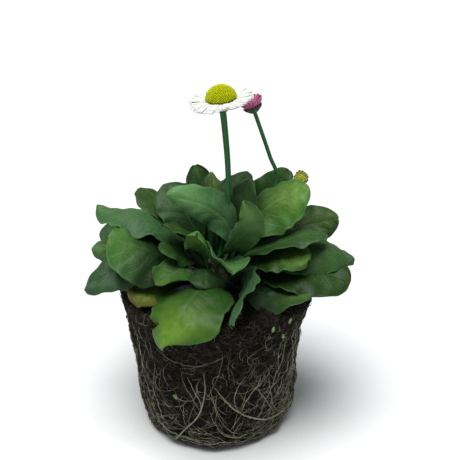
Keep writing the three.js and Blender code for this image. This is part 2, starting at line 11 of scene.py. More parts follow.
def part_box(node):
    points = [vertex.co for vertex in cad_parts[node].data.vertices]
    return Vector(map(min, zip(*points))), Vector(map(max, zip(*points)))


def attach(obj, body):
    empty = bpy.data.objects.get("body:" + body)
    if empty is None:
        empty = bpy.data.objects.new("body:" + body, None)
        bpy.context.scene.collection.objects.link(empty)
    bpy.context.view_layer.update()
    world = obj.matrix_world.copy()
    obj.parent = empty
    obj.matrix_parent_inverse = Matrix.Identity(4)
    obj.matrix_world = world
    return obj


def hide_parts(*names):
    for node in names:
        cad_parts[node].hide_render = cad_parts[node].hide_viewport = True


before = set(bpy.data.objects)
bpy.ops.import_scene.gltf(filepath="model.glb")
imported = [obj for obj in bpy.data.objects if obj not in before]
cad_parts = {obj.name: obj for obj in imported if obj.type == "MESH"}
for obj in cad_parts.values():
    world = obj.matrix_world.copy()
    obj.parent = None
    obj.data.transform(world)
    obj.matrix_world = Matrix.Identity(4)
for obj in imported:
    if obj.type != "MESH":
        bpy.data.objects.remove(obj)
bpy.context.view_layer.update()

MM = 0.001

# Camera, in millimetres and degrees, at the photograph's viewing angle
EYE = (6.1, -364.0, 264.0)
PITCH = 25.5
FOCAL_PIXELS = 955.0
FRAME_PIXELS = 460.0
SENSOR = 36.0
CLIP_METRES = (0.01, 20)

# Soft studio light and a wide floor, in millimetres and degrees
SUN_DIRECTION = (0.12, 0.18, -1.0)
SUN_STRENGTH = 4.25
SUN_SPREAD = 40
SKY_COLOUR = (0.92, 0.96, 1.0, 1)
SKY_STRENGTH = 0.34
FLOOR_HALF = 12000.0
FLOOR_CLEAR = 0.01
BALL_CLEAR = 0.02

# The build's own values that the fine shapes repeat, in millimetres and degrees
BALL_HEIGHT = 66.0
CROWN_RADIUS = 7.6
CROWN_TOP_RADIUS = 3.4
CROWN_RISE = 10.0
CROWN_SUNK = 8.0
TIER_RISE = 2.1
TIER_START = 1.4
STALK_GAP = 1.05
STALK_WIDTH = 1.9
STALK_SHARE = 0.12
STALK_THICKNESS = 1.1
LEAF_THICKNESS = 0.8
SPINE_STEPS = 60
CAD_STATIONS = np.array([0, 0.14, 0.28, 0.42, 0.56, 0.7, 0.84, 0.94, 0.995])
CAD_COLUMNS = 5

HEADS = {
    "white": {"centre": (2.7, 2, 146.4), "lean": 7, "towards": 190},
    "pink": {"centre": (15.4, 18, 139.2), "lean": 20, "towards": 172},
    "bud": {"centre": (36.5, 15, 107.8), "lean": 56, "towards": -95},
}

PLAIN_LEAF = dict(roll=0, cup=8, wave=1, sway=0, reach=0.55, foot=0, widest=0.65, blunt=2.1)


def leaf_row(tip, rise, tier, width, **more):
    """A leaf by its tip, the rise of its stalk, its tier on the crown, its width and what is special."""
    return {**PLAIN_LEAF, "tip": tip, "rise": rise, "tier": tier, "width": width, **more}


# The build's leaves, in its order; reach, widest and blunt are shares, wave is the margin's ripple
LEAVES = [
    leaf_row((-17, -46, 61), 32, 1, 31, roll=4, cup=-14, wave=1.2, sway=8, reach=0.74, widest=0.44,
             blunt=3.4),
    leaf_row((-43, -12, 93), 32, 3, 31, roll=-38, cup=-6, wave=1, sway=8, widest=0.6),
    leaf_row((38.5, 3, 108.5), 60, 4, 24, roll=24, cup=-8, wave=1.4, sway=4, reach=0.6, widest=0.66),
    leaf_row((-18, -5, 108), 104, 5, 15, roll=-70, cup=-5, wave=1.2, foot=145, reach=0.75, widest=0.6),
    leaf_row((12, -14, 109), 40, 5, 14, roll=-50, cup=-14, wave=0.5, sway=20, foot=-90, reach=0.9,
             widest=0.5),
    leaf_row((54, -14, 74), 28, 1, 30, roll=18, cup=8, wave=0.8, reach=0.6),
    leaf_row((56, -6, 77), 42, 2, 25, roll=16, cup=-22, wave=0.8, reach=0.7),
    leaf_row((39, -22, 75), 12, 1, 21, roll=16, cup=6, wave=0.8, sway=-16),
    leaf_row((-50, 9, 98), 58, 4, 24, roll=-8, cup=-26, wave=1, sway=6, reach=0.6),
    leaf_row((2, -46.5, 73), 42, 2, 15, roll=36, cup=14, wave=1, sway=30),
    leaf_row((-24, -24, 78), 54, 2, 15, roll=-20, cup=12, wave=1, sway=4),
    leaf_row((7, -28, 84), 60, 4, 21, roll=-16, cup=30, wave=0.4, sway=-8, reach=0.6, widest=0.6),
    leaf_row((38, -16, 84), 42, 2, 21, roll=12, cup=14, wave=0.8, sway=-12),
    leaf_row((-7, -15, 96), 80, 4.5, 12, roll=25, cup=-10, wave=0.6, reach=0.6),
    leaf_row((-4, -26, 77), 64, 2.6, 16, cup=-10, wave=0.5, sway=0, reach=0.7),
    leaf_row((-52, -17, 73), 38, 2, 20, roll=-25, cup=8, wave=2, sway=-4, widest=0.55, blunt=1.7),
    leaf_row((-31, -27, 69), 14, 1, 18, roll=-10, cup=-5, wave=1, sway=-25),
    leaf_row((-53, -1, 82), 42, 2, 17, roll=-30, cup=-10, wave=1, sway=-4, reach=0.7),
    leaf_row((-23, 17, 104), 68, 4, 22, roll=-22, cup=10, wave=1),
    leaf_row((-9, 25, 109), 74, 4.5, 14, roll=-10, cup=14, wave=0.6, sway=20),
    leaf_row((13, 7, 111), 84, 5, 15, roll=10, cup=12, wave=0.5, sway=-20),
    leaf_row((13, 22, 108), 74, 4, 16, roll=0, cup=12, wave=0.5, sway=8),
    leaf_row((2, 20, 108), 78, 5, 10, roll=30, cup=20, wave=0.5, sway=-8),
    leaf_row((31, 20, 109), 52, 3, 20, roll=10, cup=20, wave=0.5),
    leaf_row((53, 12, 90), 36, 2, 20, roll=30, cup=5, wave=0.5, sway=6),
    leaf_row((60, 2, 82), 34, 1, 15, roll=8, cup=24, wave=0.5, sway=12),
    leaf_row((46, -5, 91), 46, 3, 18, roll=14, cup=22, wave=0.8, sway=4),
    leaf_row((-21, -8, 97), 70, 5, 12, roll=20, cup=16, wave=0.8, sway=-4),
    leaf_row((-23, -14, 88), 46, 3, 13, roll=-24, cup=16, wave=0.8, sway=-4),
    leaf_row((50, 26, 78), 34, 1, 24, roll=10),
    leaf_row((36, 40, 82), 42, 2, 24),
    leaf_row((12, 50, 77), 34, 1, 26, cup=12),
    leaf_row((-14, 50, 82), 46, 2, 25),
    leaf_row((-38, 38, 77), 34, 1, 25, cup=-10),
    leaf_row((-52, 18, 80), 36, 2, 24, roll=-10),
    leaf_row((-34, 26, 98), 60, 3, 22, roll=-10),
    leaf_row((-8, 38, 98), 56, 3.3, 21, cup=14, sway=-12),
    leaf_row((18, 42, 92), 50, 2, 20, sway=6, foot=24),
]


def clamp(value):
    return np.clip(value, 0, 1)


# Mesh helpers

def make_object(name, points, faces, material, **vectors):
    """A mesh object from points in millimetres, with vectors on its points that the material reads."""
    mesh = bpy.data.meshes.new(name)
    mesh.from_pydata((np.asarray(points) * MM).tolist(), [], [list(map(int, f)) for f in faces])
    mesh.polygons.foreach_set("use_smooth", [True] * len(mesh.polygons))
    mesh.materials.append(material)
    mesh.update()
    for key, values in vectors.items():
        layer = mesh.attributes.new(key, "FLOAT_VECTOR", "POINT")
        layer.data.foreach_set("vector", np.asarray(values, dtype=np.float32).ravel())
    piece = bpy.data.objects.new(name, mesh)
    bpy.context.scene.collection.objects.link(piece)
    return piece


def shades(lightness):
    """Vectors that hold each point's lightness as their first number; on some pieces it is a painted light
    and shade.
    """
    return np.stack([lightness, 0 * lightness, 0 * lightness], -1)


class Builder:
    """Gathers small bodies into one piece, which may stand on one of the heads."""

    def __init__(self, head=None):
        self.head = head
        self.points = []
        self.faces = []
        self.lightness = []
        self.count = 0

    def add(self, points, faces, lightness):
        self.points.append(placed(self.head, points) if self.head else points)
        self.faces.extend([tuple(i + self.count for i in face) for face in faces])
        self.lightness.append(np.broadcast_to(lightness, len(points)))
        self.count += len(points)

    def build(self, name, slot, *nodes, material=None):
        form = shades(np.concatenate(self.lightness))
        add_piece(name, np.concatenate(self.points), self.faces, slot, *nodes, material=material, form=form)


def plate_faces(rows, columns):
    """The faces of a closed plate: an upper grid, then a lower one, and the rim between them."""
    under = rows * columns
    faces = []
    for i in range(rows - 1):
        for j in range(columns - 1):
            a = i * columns + j
            faces.append((a, a + columns, a + columns + 1, a + 1))
            faces.append((under + a, under + a + 1, under + a + columns + 1, under + a + columns))
        left = i * columns
        right = left + columns - 1
        faces.append((left, under + left, under + left + columns, left + columns))
        faces.append((right, right + columns, under + right + columns, under + right))
    tip = (rows - 1) * columns
    for j in range(columns - 1):
        faces.append((j, j + 1, under + j + 1, under + j))
        faces.append((tip + j, under + tip + j, under + tip + j + 1, tip + j + 1))
    return faces


def both_sides(upper, lower):
    """The points of a plate in the order of its faces."""
    return np.concatenate([upper.reshape(-1, 3), lower.reshape(-1, 3)])


def ring_faces(steps, sides, count=1):
    """The faces of closed bodies made of rings, with a cap at each end."""
    index = np.arange(count * steps * sides).reshape(count, steps, sides)
    after = np.roll(index, -1, axis=2)
    quads = np.stack([index[:, :-1], after[:, :-1], after[:, 1:], index[:, 1:]], -1).reshape(-1, 4)
    caps = np.concatenate([index[:, 0, ::-1], index[:, -1]])
    return quads.tolist() + caps.tolist()


def facing(angle):
    """Level unit directions outward at an angle, and to the side of it."""
    x, y = np.cos(angle), np.sin(angle)
    return np.stack([x, y, 0 * x], -1), np.stack([-y, x, 0 * x], -1)


def normalised(vectors):
    return vectors / np.linalg.norm(vectors, axis=-1, keepdims=True)


def squared(side, ahead):
    """The side direction turned square to the way ahead."""
    return normalised(side - ahead * np.sum(side * ahead, -1, keepdims=True))


def run_along(line):
    """The length run at each point of a line."""
    return np.concatenate([[0], np.cumsum(np.linalg.norm(np.diff(line, axis=0), axis=1))])


def found_at(places, run, line):
    """Points of a line at places along its run."""
    return np.stack([np.interp(places, run, column) for column in line.T], -1)


def wrinkle(points, scale, seed):
    """Smooth noise between -1 and 1 at each point, with bumps of about 1/scale millimetres."""
    shift = Vector((seed * 7.3, seed * 3.1, seed * 5.7))
    return np.array([noise.noise(Vector(p) * scale + shift) for p in points.tolist()])


# Materials

class Shader:
    """A node material; lengths in its textures are millimetres on the object."""

    def __init__(self, name, **sockets):
        self.material = bpy.data.materials.new(name)
        self.material.use_nodes = True
        self.tree = self.material.node_tree
        self.surface = self.tree.nodes["Principled BSDF"]
        place = self.tree.nodes.new("ShaderNodeTexCoord")
        self.place = self.node("VectorMath", "SCALE", place.outputs["Object"], Scale=1 / MM).outputs[0]
        for key, value in sockets.items():
            self.fill(self.surface.inputs[key.replace("_", " ")], value)

    def fill(self, socket, value):
        """Links a socket to another one, or gives it a number, a vector or a colour."""
        if isinstance(value, bpy.types.NodeSocket):
            self.tree.links.new(value, socket)
        elif socket.type == "RGBA":
            socket.default_value = (*value, 1.0)
        else:
            socket.default_value = value

    def node(self, kind, operation=None, *values, **named):
        made = self.tree.nodes.new("ShaderNode" + kind)
        if operation:
            made.operation = operation
        for key, value in [*enumerate(values), *named.items()]:
            self.fill(made.inputs[key], value)
        return made

    def math(self, operation, *values):
        return self.node("Math", operation, *values).outputs[0]

    def times(self, first, second):
        return self.math("MULTIPLY", first, second)

    def scaled(self, value, scale, offset):
        return self.math("MULTIPLY_ADD", value, scale, offset)

    def spread(self, value, low, high):
        """Carries a number between 0 and 1 over to a range."""
        return self.scaled(value, high - low, low)

    def rest(self, value):
        """What a number leaves of 1."""
        return self.math("SUBTRACT", 1.0, value)

    def noise(self, scale, detail=3.0, roughness=0.55, stretch=None):
        place = self.place
        if stretch:
            place = self.node("VectorMath", "MULTIPLY", place, stretch).outputs[0]
        made = self.node("TexNoise", None, Vector=place, Scale=scale, Detail=detail, Roughness=roughness)
        return made.outputs["Fac"]

    def ramp(self, value, low, high):
        made = self.node("MapRange", None, value, low, high)
        made.interpolation_type = "SMOOTHSTEP"
        return made.outputs[0]

    def mix(self, factor, first, second):
        made = self.tree.nodes.new("ShaderNodeMix")
        made.data_type = "RGBA"
        for index, value in ((0, factor), (6, first), (7, second)):
            self.fill(made.inputs[index], value)
        return made.outputs[2]

    def vector(self, name):
        """The three numbers of a vector kept on the mesh's points."""
        kept = self.tree.nodes.new("ShaderNodeAttribute")
        kept.attribute_name = name
        return self.node("SeparateXYZ", None, kept.outputs["Vector"]).outputs

    def finish(self, colour, roughness, height, distance, strength=0.6):
        """Joins colour, roughness if it varies, and relief in millimetres to the surface."""
        bump = self.node("Bump", None, Height=height, Distance=distance * MM, Strength=strength)
        self.fill(self.surface.inputs["Base Color"], colour)
        self.fill(self.surface.inputs["Normal"], bump.outputs[0])
        if roughness:
            self.fill(self.surface.inputs["Roughness"], roughness)
        return self.material


# Leaf skin: its bluish bloom, partly a waxy coat and partly a painted sheen, its withered parts and how far
# each colour scatters in it
BLOOM_AND_SHEEN = (0.055, 0.130, 0.080)
WITHERED = (0.050, 0.042, 0.008), (0.13, 0.105, 0.026)
LEAF_SCATTER = (0.5, 1.0, 0.25)
VEIN_COUNT = 9.0
VEIN_SLANT = 1.9


def vein_lines(made, side, length):
    """Side veins that climb from the midrib and fade before the rim."""
    bend = made.scaled(made.noise(0.12), 0.9, made.times(length, VEIN_COUNT))
    line = made.math("FRACT", made.scaled(side, -VEIN_SLANT, bend))
    away = made.math("ABSOLUTE", made.math("SUBTRACT", line, 0.5))
    return made.times(made.rest(made.ramp(away, 0.01, 0.1)), made.rest(made.ramp(side, 0.5, 0.95)))


def leaf_colour(made, side, length, top, marks, shade, mid, pale, under):
    """Dark and light patches, darker towards the foot as a painted shade, with paler marks, a pale rim at the
    margin that is a painted lit edge, and a paler underside.
    """
    broad, patches, grain = marks["broad"], marks["patches"], marks["grain"]
    # The tone darkens towards the blade's foot: painted shade.
    painted_foot_shade_ramp = made.ramp(length, 0.15, 0.85)
    tone = made.math("ADD", made.times(broad, 0.5), made.times(painted_foot_shade_ramp, 0.5))
    tone = made.scaled(made.math("SUBTRACT", patches, 0.5), 0.45, tone)
    colour = made.mix(tone, shade, mid)
    rib = made.times(made.rest(made.ramp(side, 0.015, 0.07)), made.math("SUBTRACT", 1.15, length))
    # The pale rim along the margin is a painted lit edge.
    rim = made.times(made.ramp(side, 0.9, 1.0), made.ramp(length, 0.25, 0.5))
    paler = ((grain, 0.16), (marks["blotches"], 0.45), (marks["vein"], 0.18), (rib, 0.6), (rim, 0.5))
    for mark, share in paler:
        colour = made.mix(made.times(mark, share), colour, pale)
    return made.mix(top, made.mix(made.times(grain, 0.4), under, pale), colour)


def leaf_material(name, shade, mid, pale, yellow, under):
    """Leaf skin; each blade's vectors set its lightness, partly painted light and shade, its yellowing, its
    bloom with a painted sheen, its age, its blotches and a painted shade at its foot.
    """
    made = Shader(name, Subsurface_Weight=0.05, Subsurface_Scale=0.001, Specular_IOR_Level=0.16,
                  Subsurface_Radius=LEAF_SCATTER)
    across, length, top = made.vector("form")
    # light is each blade's lightness, partly painted light and shade; depth is how much painted shade darkens
    # its foot.
    light, yellowing, blueness = made.vector("tint")
    age, blotch, depth = made.vector("wear")
    side = made.math("ABSOLUTE", across)
    patches = made.ramp(made.noise(0.28, 4.0, 0.6), 0.3, 0.7)
    grain = made.ramp(made.noise(1.1, 3.0, 0.65), 0.3, 0.72)
    speckle = made.ramp(made.noise(3.2, 2.0, 0.6), 0.35, 0.7)
    vein = vein_lines(made, side, length)
    marks = {"broad": made.ramp(made.noise(0.07, 3.0, 0.5), 0.34, 0.66), "patches": patches, "grain": grain,
             "blotches": made.times(speckle, blotch), "vein": vein}
    colour = leaf_colour(made, side, length, top, marks, shade, mid, pale, under)
    heart = made.times(made.ramp(length, 0.4, 0.9), made.rest(made.ramp(side, 0.3, 1.1)))
    heart = made.times(heart, made.spread(patches, 0.6, 1.0))
    colour = made.mix(made.times(yellowing, heart), colour, yellow)
    # The bluish bloom is partly a waxy coat and partly a painted sheen.
    colour = made.mix(made.times(blueness, made.spread(grain, 0.5, 1.0)), colour, BLOOM_AND_SHEEN)
    reach = made.math("ADD", length, made.spread(made.noise(0.16, 4.0, 0.7), -0.35, 0.35))
    reach = made.scaled(side, 0.12, reach)
    colour = made.mix(made.times(made.ramp(reach, 0.72, 0.95), age), colour, made.mix(speckle, *WITHERED))
    # Painted shade towards the foot, by depth, on top of the blade's lightness.
    painted_foot_shade = made.times(depth, made.rest(made.ramp(length, 0.5, 1.0)))
    bright = made.node("HueSaturation", None, Color=colour, Value=made.times(light, made.rest(painted_foot_shade)))
    net = made.node("TexVoronoi", None, Vector=made.place, Scale=0.55)
    net.feature = "DISTANCE_TO_EDGE"
    cells = made.ramp(net.outputs["Distance"], 0.0, 0.35)
    height = made.scaled(speckle, 0.3, made.times(grain, 0.4))
    height = made.scaled(vein, -0.7, made.scaled(cells, 0.5, height))
    return made.finish(bright.outputs[0], made.spread(grain, 0.36, 0.52), height, 0.13)


def plain_material(name, dark, pale, scale, rough=(0.5, 0.75), bump=0.1, stretch=None, **sockets):
    """Two tones in grain of a given scale, with each point's lightness in form's first number, which on some
    pieces is a painted light and shade.
    """
    made = Shader(name, Subsurface_Radius=(1.0, 1.0, 1.0), **sockets)
    own = made.vector("form")[0]
    grain = made.ramp(made.noise(scale, 4.0, 0.65, stretch), 0.3, 0.7)
    colour = made.mix(made.scaled(own, 0.65, made.times(grain, 0.35)), dark, pale)
    return made.finish(colour, made.spread(grain, *rough), grain, bump)


MATERIALS = {
    "leaf": leaf_material(
        "leaf_skin", (0.003, 0.018, 0.002), (0.018, 0.078, 0.006), (0.09, 0.2, 0.045),
        (0.165, 0.26, 0.03), (0.052, 0.125, 0.028)),
    "yellow_leaf": leaf_material(
        "yellow_leaf_skin", (0.01, 0.048, 0.004), (0.022, 0.082, 0.007), (0.08, 0.18, 0.035),
        (0.115, 0.225, 0.02), (0.045, 0.105, 0.018)),
    "soil": plain_material(
        "peat", (0.0014, 0.0012, 0.0011), (0.014, 0.0122, 0.0098), 1.6, (0.8, 1.0), 0.5,
        Specular_IOR_Level=0.1),
    "fibre": plain_material(
        "peat_fibre", (0.0024, 0.002, 0.0015), (0.098, 0.082, 0.046), 0.8, (0.7, 0.95), 0.1, (1, 1, 0.3),
        Specular_IOR_Level=0.2),
    "root": plain_material(
        "root_skin", (0.028, 0.026, 0.014), (0.4, 0.4, 0.285), 0.5, (0.45, 0.7), 0.12, (1, 1, 0.4),
        Specular_IOR_Level=0.3),
    "stem": plain_material(
        "stem_skin", (0.005, 0.046, 0.012), (0.024, 0.165, 0.04), 0.5, (0.4, 0.55), 0.12, (1, 1, 0.08),
        Specular_IOR_Level=0.25, Subsurface_Weight=0.05, Subsurface_Scale=0.001),
    "bract": plain_material("bract_skin", (0.008, 0.0288, 0.0096), (0.04, 0.092, 0.032), 1.4),
    "white_ray": plain_material(
        "white_ray_skin", (0.54, 0.545, 0.515), (0.64, 0.645, 0.615), 0.8, (0.5, 0.65), 0.04,
        Specular_IOR_Level=0.15, Subsurface_Weight=0.3, Subsurface_Scale=0.0004),
    "pink_ray": plain_material(
        "pink_ray_skin", (0.24, 0.0176, 0.09), (0.496, 0.12, 0.27), 0.9, (0.45, 0.6), 0.05,
        Subsurface_Weight=0.15, Subsurface_Scale=0.001),
    "cream_ray": plain_material(
        "cream_ray_skin", (0.3, 0.24, 0.1), (0.5, 0.5, 0.2), 1.2, (0.45, 0.6), 0.05,
        Subsurface_Weight=0.1, Subsurface_Scale=0.001),
    "disc": plain_material(
        "floret_skin", (0.3, 0.335, 0.0004), (0.54, 0.572, 0.0012), 1.5, (0.5, 0.7), 0.06,
        Specular_IOR_Level=0.15),
    "green_disc": plain_material(
        "green_floret_skin", (0.2, 0.29, 0.003), (0.46, 0.52, 0.008), 1.5, (0.5, 0.7), 0.06,
        Subsurface_Weight=0.1, Subsurface_Scale=0.0008),
    "flake": plain_material("flake_skin", (0.072, 0.156, 0.042), (0.18, 0.312, 0.108), 1.5, (0.4, 0.6), 0.08),
    "crown": plain_material(
        "crown_skin", (0.01, 0.02, 0.006), (0.06, 0.085, 0.032), 0.6, (0.5, 0.7), 0.2, (1, 1, 0.3)),
}


def add_piece(name, points, faces, slot, *nodes, material=None, **vectors):
    """A piece of the plant that stands for nodes of the build, in its slot's own material or another."""
    piece = make_object(name, points, faces, MATERIALS[material or slot], **vectors)
    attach(piece, "root")
    if nodes:
        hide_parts(*nodes)


# Leaves: the build's own midrib and blade, worked out for many trial poses at once

def crown_radius(z):
    share = clamp((z - BALL_HEIGHT) / CROWN_RISE)
    return CROWN_RADIUS + (CROWN_TOP_RADIUS - CROWN_RADIUS) * share


def midribs(leaf, change):
    """Midribs of one leaf for rows of changes (turn, sway, lift, roll, rise, tier)."""
    turn, sway, lift, roll, rise, tier = change.T
    turn = np.radians(turn)
    x, y, z = leaf["tip"]
    cos, sin = np.cos(turn), np.sin(turn)
    tip = np.stack([x * cos - y * sin, x * sin + y * cos, z + lift], -1)
    heading = np.arctan2(tip[:, 1], tip[:, 0]) + np.radians(leaf["sway"] + sway)
    foot_z = BALL_HEIGHT + TIER_START + TIER_RISE * (leaf["tier"] + tier - 1)
    out, side = facing(heading)
    base = facing(heading + radians(leaf["foot"]))[0] * (crown_radius(foot_z) + STALK_GAP)[:, None]
    base[:, 2] = foot_z
    pull = leaf["reach"] * np.linalg.norm(tip - base, axis=1)
    climb = np.radians(leaf["rise"] + rise)
    middle = base + out * (pull * np.cos(climb))[:, None]
    middle[:, 2] += pull * np.sin(climb)
    points, sides, aheads = [], [], []
    for i in range(SPINE_STEPS + 1):
        u = i / SPINE_STEPS
        points.append(base * (1 - u) ** 2 + middle * 2 * u * (1 - u) + tip * u * u)
        ahead = normalised((middle - base) * (1 - u) + (tip - middle) * u)
        side = squared(side, ahead)
        sides.append(side)
        aheads.append(ahead)
    points, sides, aheads = (np.stack(values, 1) for values in (points, sides, aheads))
    steps = np.linalg.norm(np.diff(points, axis=1), axis=-1)
    run = np.concatenate([np.zeros((len(steps), 1)), np.cumsum(steps, 1)], 1)
    share = run / run[:, -1:]
    ups = np.cross(aheads, sides)
    twist = np.radians(leaf["roll"] + roll)[:, None] * clamp((share - 0.08) / 0.5)
    cos, sin = np.cos(twist)[..., None], np.sin(twist)[..., None]
    return {"s": share, "at": points, "side": sides * cos + ups * sin, "up": ups * cos - sides * sin,
            "length": run[:, -1]}


def sampled(rib, stations):
    """The midribs' points and directions at shares of their length."""
    return (np.stack([found_at(stations, share, line) for share, line in zip(rib["s"], rib[key])])
            for key in ("at", "side", "up"))


def spoon(s, widest, blunt):
    beyond = clamp((s - widest) / (1 - widest))
    before = clamp((s - STALK_SHARE) / (widest - STALK_SHARE))
    return np.where(s > widest, np.sqrt(1 - beyond ** blunt), np.sin(before * pi / 2) ** 1.15)


def blade(leaf, rib, stations, columns):
    """The blade's middle surface and upward directions, as trial x station x column x 3."""
    at, side, up = (values[:, :, None, :] for values in sampled(rib, stations))
    half_width = leaf["width"] / 2 * spoon(stations, leaf["widest"], leaf["blunt"])
    half_width = np.maximum(STALK_WIDTH / 2, half_width)
    s, t = stations[:, None], columns[None, :]
    phase = radians(leaf["phase"]) + np.where(t > 0, 1.7, 0)
    live = clamp((s - 0.3) / 0.25)
    ripple = leaf["wave"] * leaf["width"] / 24 * live * np.abs(t) ** 1.5 * np.sin(3.2 * pi * s + phase)
    fold = radians(leaf["cup"])
    lift = half_width[:, None] * (np.sqrt(t * t + 0.05) - math.sqrt(0.05)) * math.sin(fold) + ripple
    reach = half_width[:, None] * t * math.cos(fold)
    middle = at + side * reach[..., None] + up * lift[..., None]
    return middle, np.broadcast_to(up, middle.shape), np.broadcast_to(side, middle.shape), half_width


def plate_thickness(s):
    return STALK_THICKNESS + (LEAF_THICKNESS - STALK_THICKNESS) * clamp(s / 0.3)


# The build's trial changes of turn, sway, lift, roll, rise and tier, the unchanged pose first
CHANGES = np.array(list(itertools.product(
    (0, 5, -5, 10, -10), (0, 12, -12, 24, -24), (0, 3, -3, 6, -6), (0, 15, -15), (0, 10, -10), (0, 0.7, -0.7),
)))
POSE_MATCHES = 0.02
POSE_DOUBTFUL = 0.05


def misfit(leaf, node, changes):
    """How far the box of each trial pose is from the node's own box, in millimetres."""
    rib = midribs(leaf, changes)
    middle, up, _, _ = blade(leaf, rib, CAD_STATIONS, np.linspace(-1, 1, CAD_COLUMNS))
    half = (plate_thickness(CAD_STATIONS) / 2)[None, :, None, None]
    points = np.concatenate([middle + up * half, middle - up * half], 1).reshape(len(changes), -1, 3)
    low, high = (np.array(corner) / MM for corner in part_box(node))
    return np.maximum(np.abs(points.min(1) - low).max(1), np.abs(points.max(1) - high).max(1))


def found_change(leaf, node):
    """The change of pose that the build made to this leaf so that it clears its neighbours."""
    plain = CHANGES[:1]
    if misfit(leaf, node, plain)[0] < POSE_MATCHES:
        return plain
    errors = misfit(leaf, node, CHANGES)
    best = int(errors.argmin())
    if errors[best] > POSE_DOUBTFUL:
        print("leaf pose not matched", node, round(float(errors[best]), 3))
    return CHANGES[best:best + 1]


ROWS = 46
HALF_COLUMNS = np.array([0.04, 0.1, 0.18, 0.28, 0.39, 0.5, 0.61, 0.72, 0.82, 0.9, 0.96, 1.0])
COLUMNS = np.concatenate([-HALF_COLUMNS[::-1], [0.0], HALF_COLUMNS])
RUN = np.linspace(0, 1, ROWS)
STATIONS = 0.9985 * (0.25 * RUN + 0.75 * (1 - (1 - RUN) ** 2))

# The blade's own relief, in millimetres
BLISTER = 0.22
SIDE_VEIN = 0.08
TOOTH = 0.2
GROOVE_WIDTH = 0.55
GROOVE_DEPTH = 0.24
MIDRIB_DEPTH = 0.32
BLADE_HALF = 0.30
STALK_HALF_MORE = 0.24
STALK_SUNK = 1.3
LEAF_PHASE = 97


def relief(look, s, t, run, across, shift):
    """Heights over a blade: rippled margin, blisters between the veins, swells and a drooping arch."""
    edge = np.abs(t)
    tip_fade = np.clip((1 - s) / 0.12, 0.25, 1)
    flutter = look["flutter"] * tip_fade * edge ** 3 * (
        np.sin(run * 0.36 + shift[0] + np.where(t > 0, 2.1, 0)) + 0.45 * np.sin(run * 0.9 + shift[1]))
    long_waves = 1.4 * np.sin(0.3 * run + 0.22 * across + shift[2]) * np.sin(0.4 * across + shift[3])
    short_waves = 0.5 * np.sin(run - 0.7 * np.abs(across) + shift[4])
    vein = -SIDE_VEIN * (1 - edge) * np.cos(tau * (VEIN_COUNT * s - VEIN_SLANT * edge))
    swell = look["swell"] * np.sin(0.24 * run + shift[6]) * np.cos(0.16 * across + shift[7])
    return flutter + BLISTER * (long_waves + short_waves) + vein + swell - look["arch"] * edge ** 2.2


def sideways(look, s, t, run, live, shift):
    """How far the margin's teeth, the outline's bulges and the blade's skew move each point to its side."""
    teeth = TOOTH * live * np.abs(t) ** 4 * (np.sin(run * 1.1 + shift[5] + np.where(t > 0, 1.3, 0)) + 0.4)
    moved = np.sign(t) * teeth + look["skew"] * clamp(s - 0.3) ** 2
    for place, hand, size, span in look["bulges"]:
        moved = moved + hand * size * np.exp(-((s - place) / span) ** 2) * clamp(hand * t) ** 2
    return moved


def leaf_points(leaf, rib, look, draw):
    """The blade's points: its upper side, then its lower side, with a grooved midrib and a thin rim."""
    middle, up, side, half_width = blade(leaf, rib, STATIONS, COLUMNS)
    middle, up, side = middle[0], up[0], side[0]
    shift = [draw.uniform(0, 6.28) for _ in range(8)]
    s, t = STATIONS[:, None], COLUMNS[None, :]
    live = clamp((s - 0.25) / 0.3)
    run, across = s * rib["length"][0], half_width[:, None] * t
    middle = middle + up * (live * relief(look, s, t, run, across, shift))[..., None]
    middle = middle + side * sideways(look, s, t, run, live, shift)[..., None]
    forward = look["point"] * clamp((s - 0.75) / 0.25) ** 2 - look["shear"] * t * clamp((s - 0.4) / 0.6) ** 2
    middle = middle + np.cross(side, up) * forward[..., None]
    groove = np.exp(-(across / GROOVE_WIDTH) ** 2)
    half = (BLADE_HALF + STALK_HALF_MORE * (1 - clamp(s / 0.3))) * np.sqrt(clamp(1.06 - np.abs(t) ** 6))
    upper = middle + up * (half - GROOVE_DEPTH * groove * live)[..., None]
    lower = middle - up * (half + MIDRIB_DEPTH * groove * (1.1 - s))[..., None]
    first = middle[1] - middle[0]
    foot = middle[0] - first * (STALK_SUNK / np.linalg.norm(first[len(COLUMNS) // 2]))
    rim = up[0] * half[0][:, None]
    upper = np.concatenate([(foot + rim)[None], upper])
    lower = np.concatenate([(foot - rim)[None], lower])
    return both_sides(upper, lower)


def leaf_piece(index, row, look):
    node = f"leaf_{index:02d}"
    leaf = {**row, "phase": LEAF_PHASE * (index - 1)}
    points = leaf_points(leaf, midribs(leaf, found_change(leaf, node)), look, random.Random(index))
    length, across = (grid.ravel() for grid in np.meshgrid([0, *STATIONS], COLUMNS, indexing="ij"))
    top = np.ones(len(length))
    form = np.concatenate([np.stack([across, length, top], -1), np.stack([across, length, 0 * top], -1)])
    every = np.ones((len(points), 1))
    add_piece(node + "_blade", points, plate_faces(ROWS + 1, len(COLUMNS)), look["slot"], node, form=form,
              tint=every * [look["light"], look["yellow"], look["blue"]],
              wear=every * [look["age"], look["blotch"], look["depth"]])
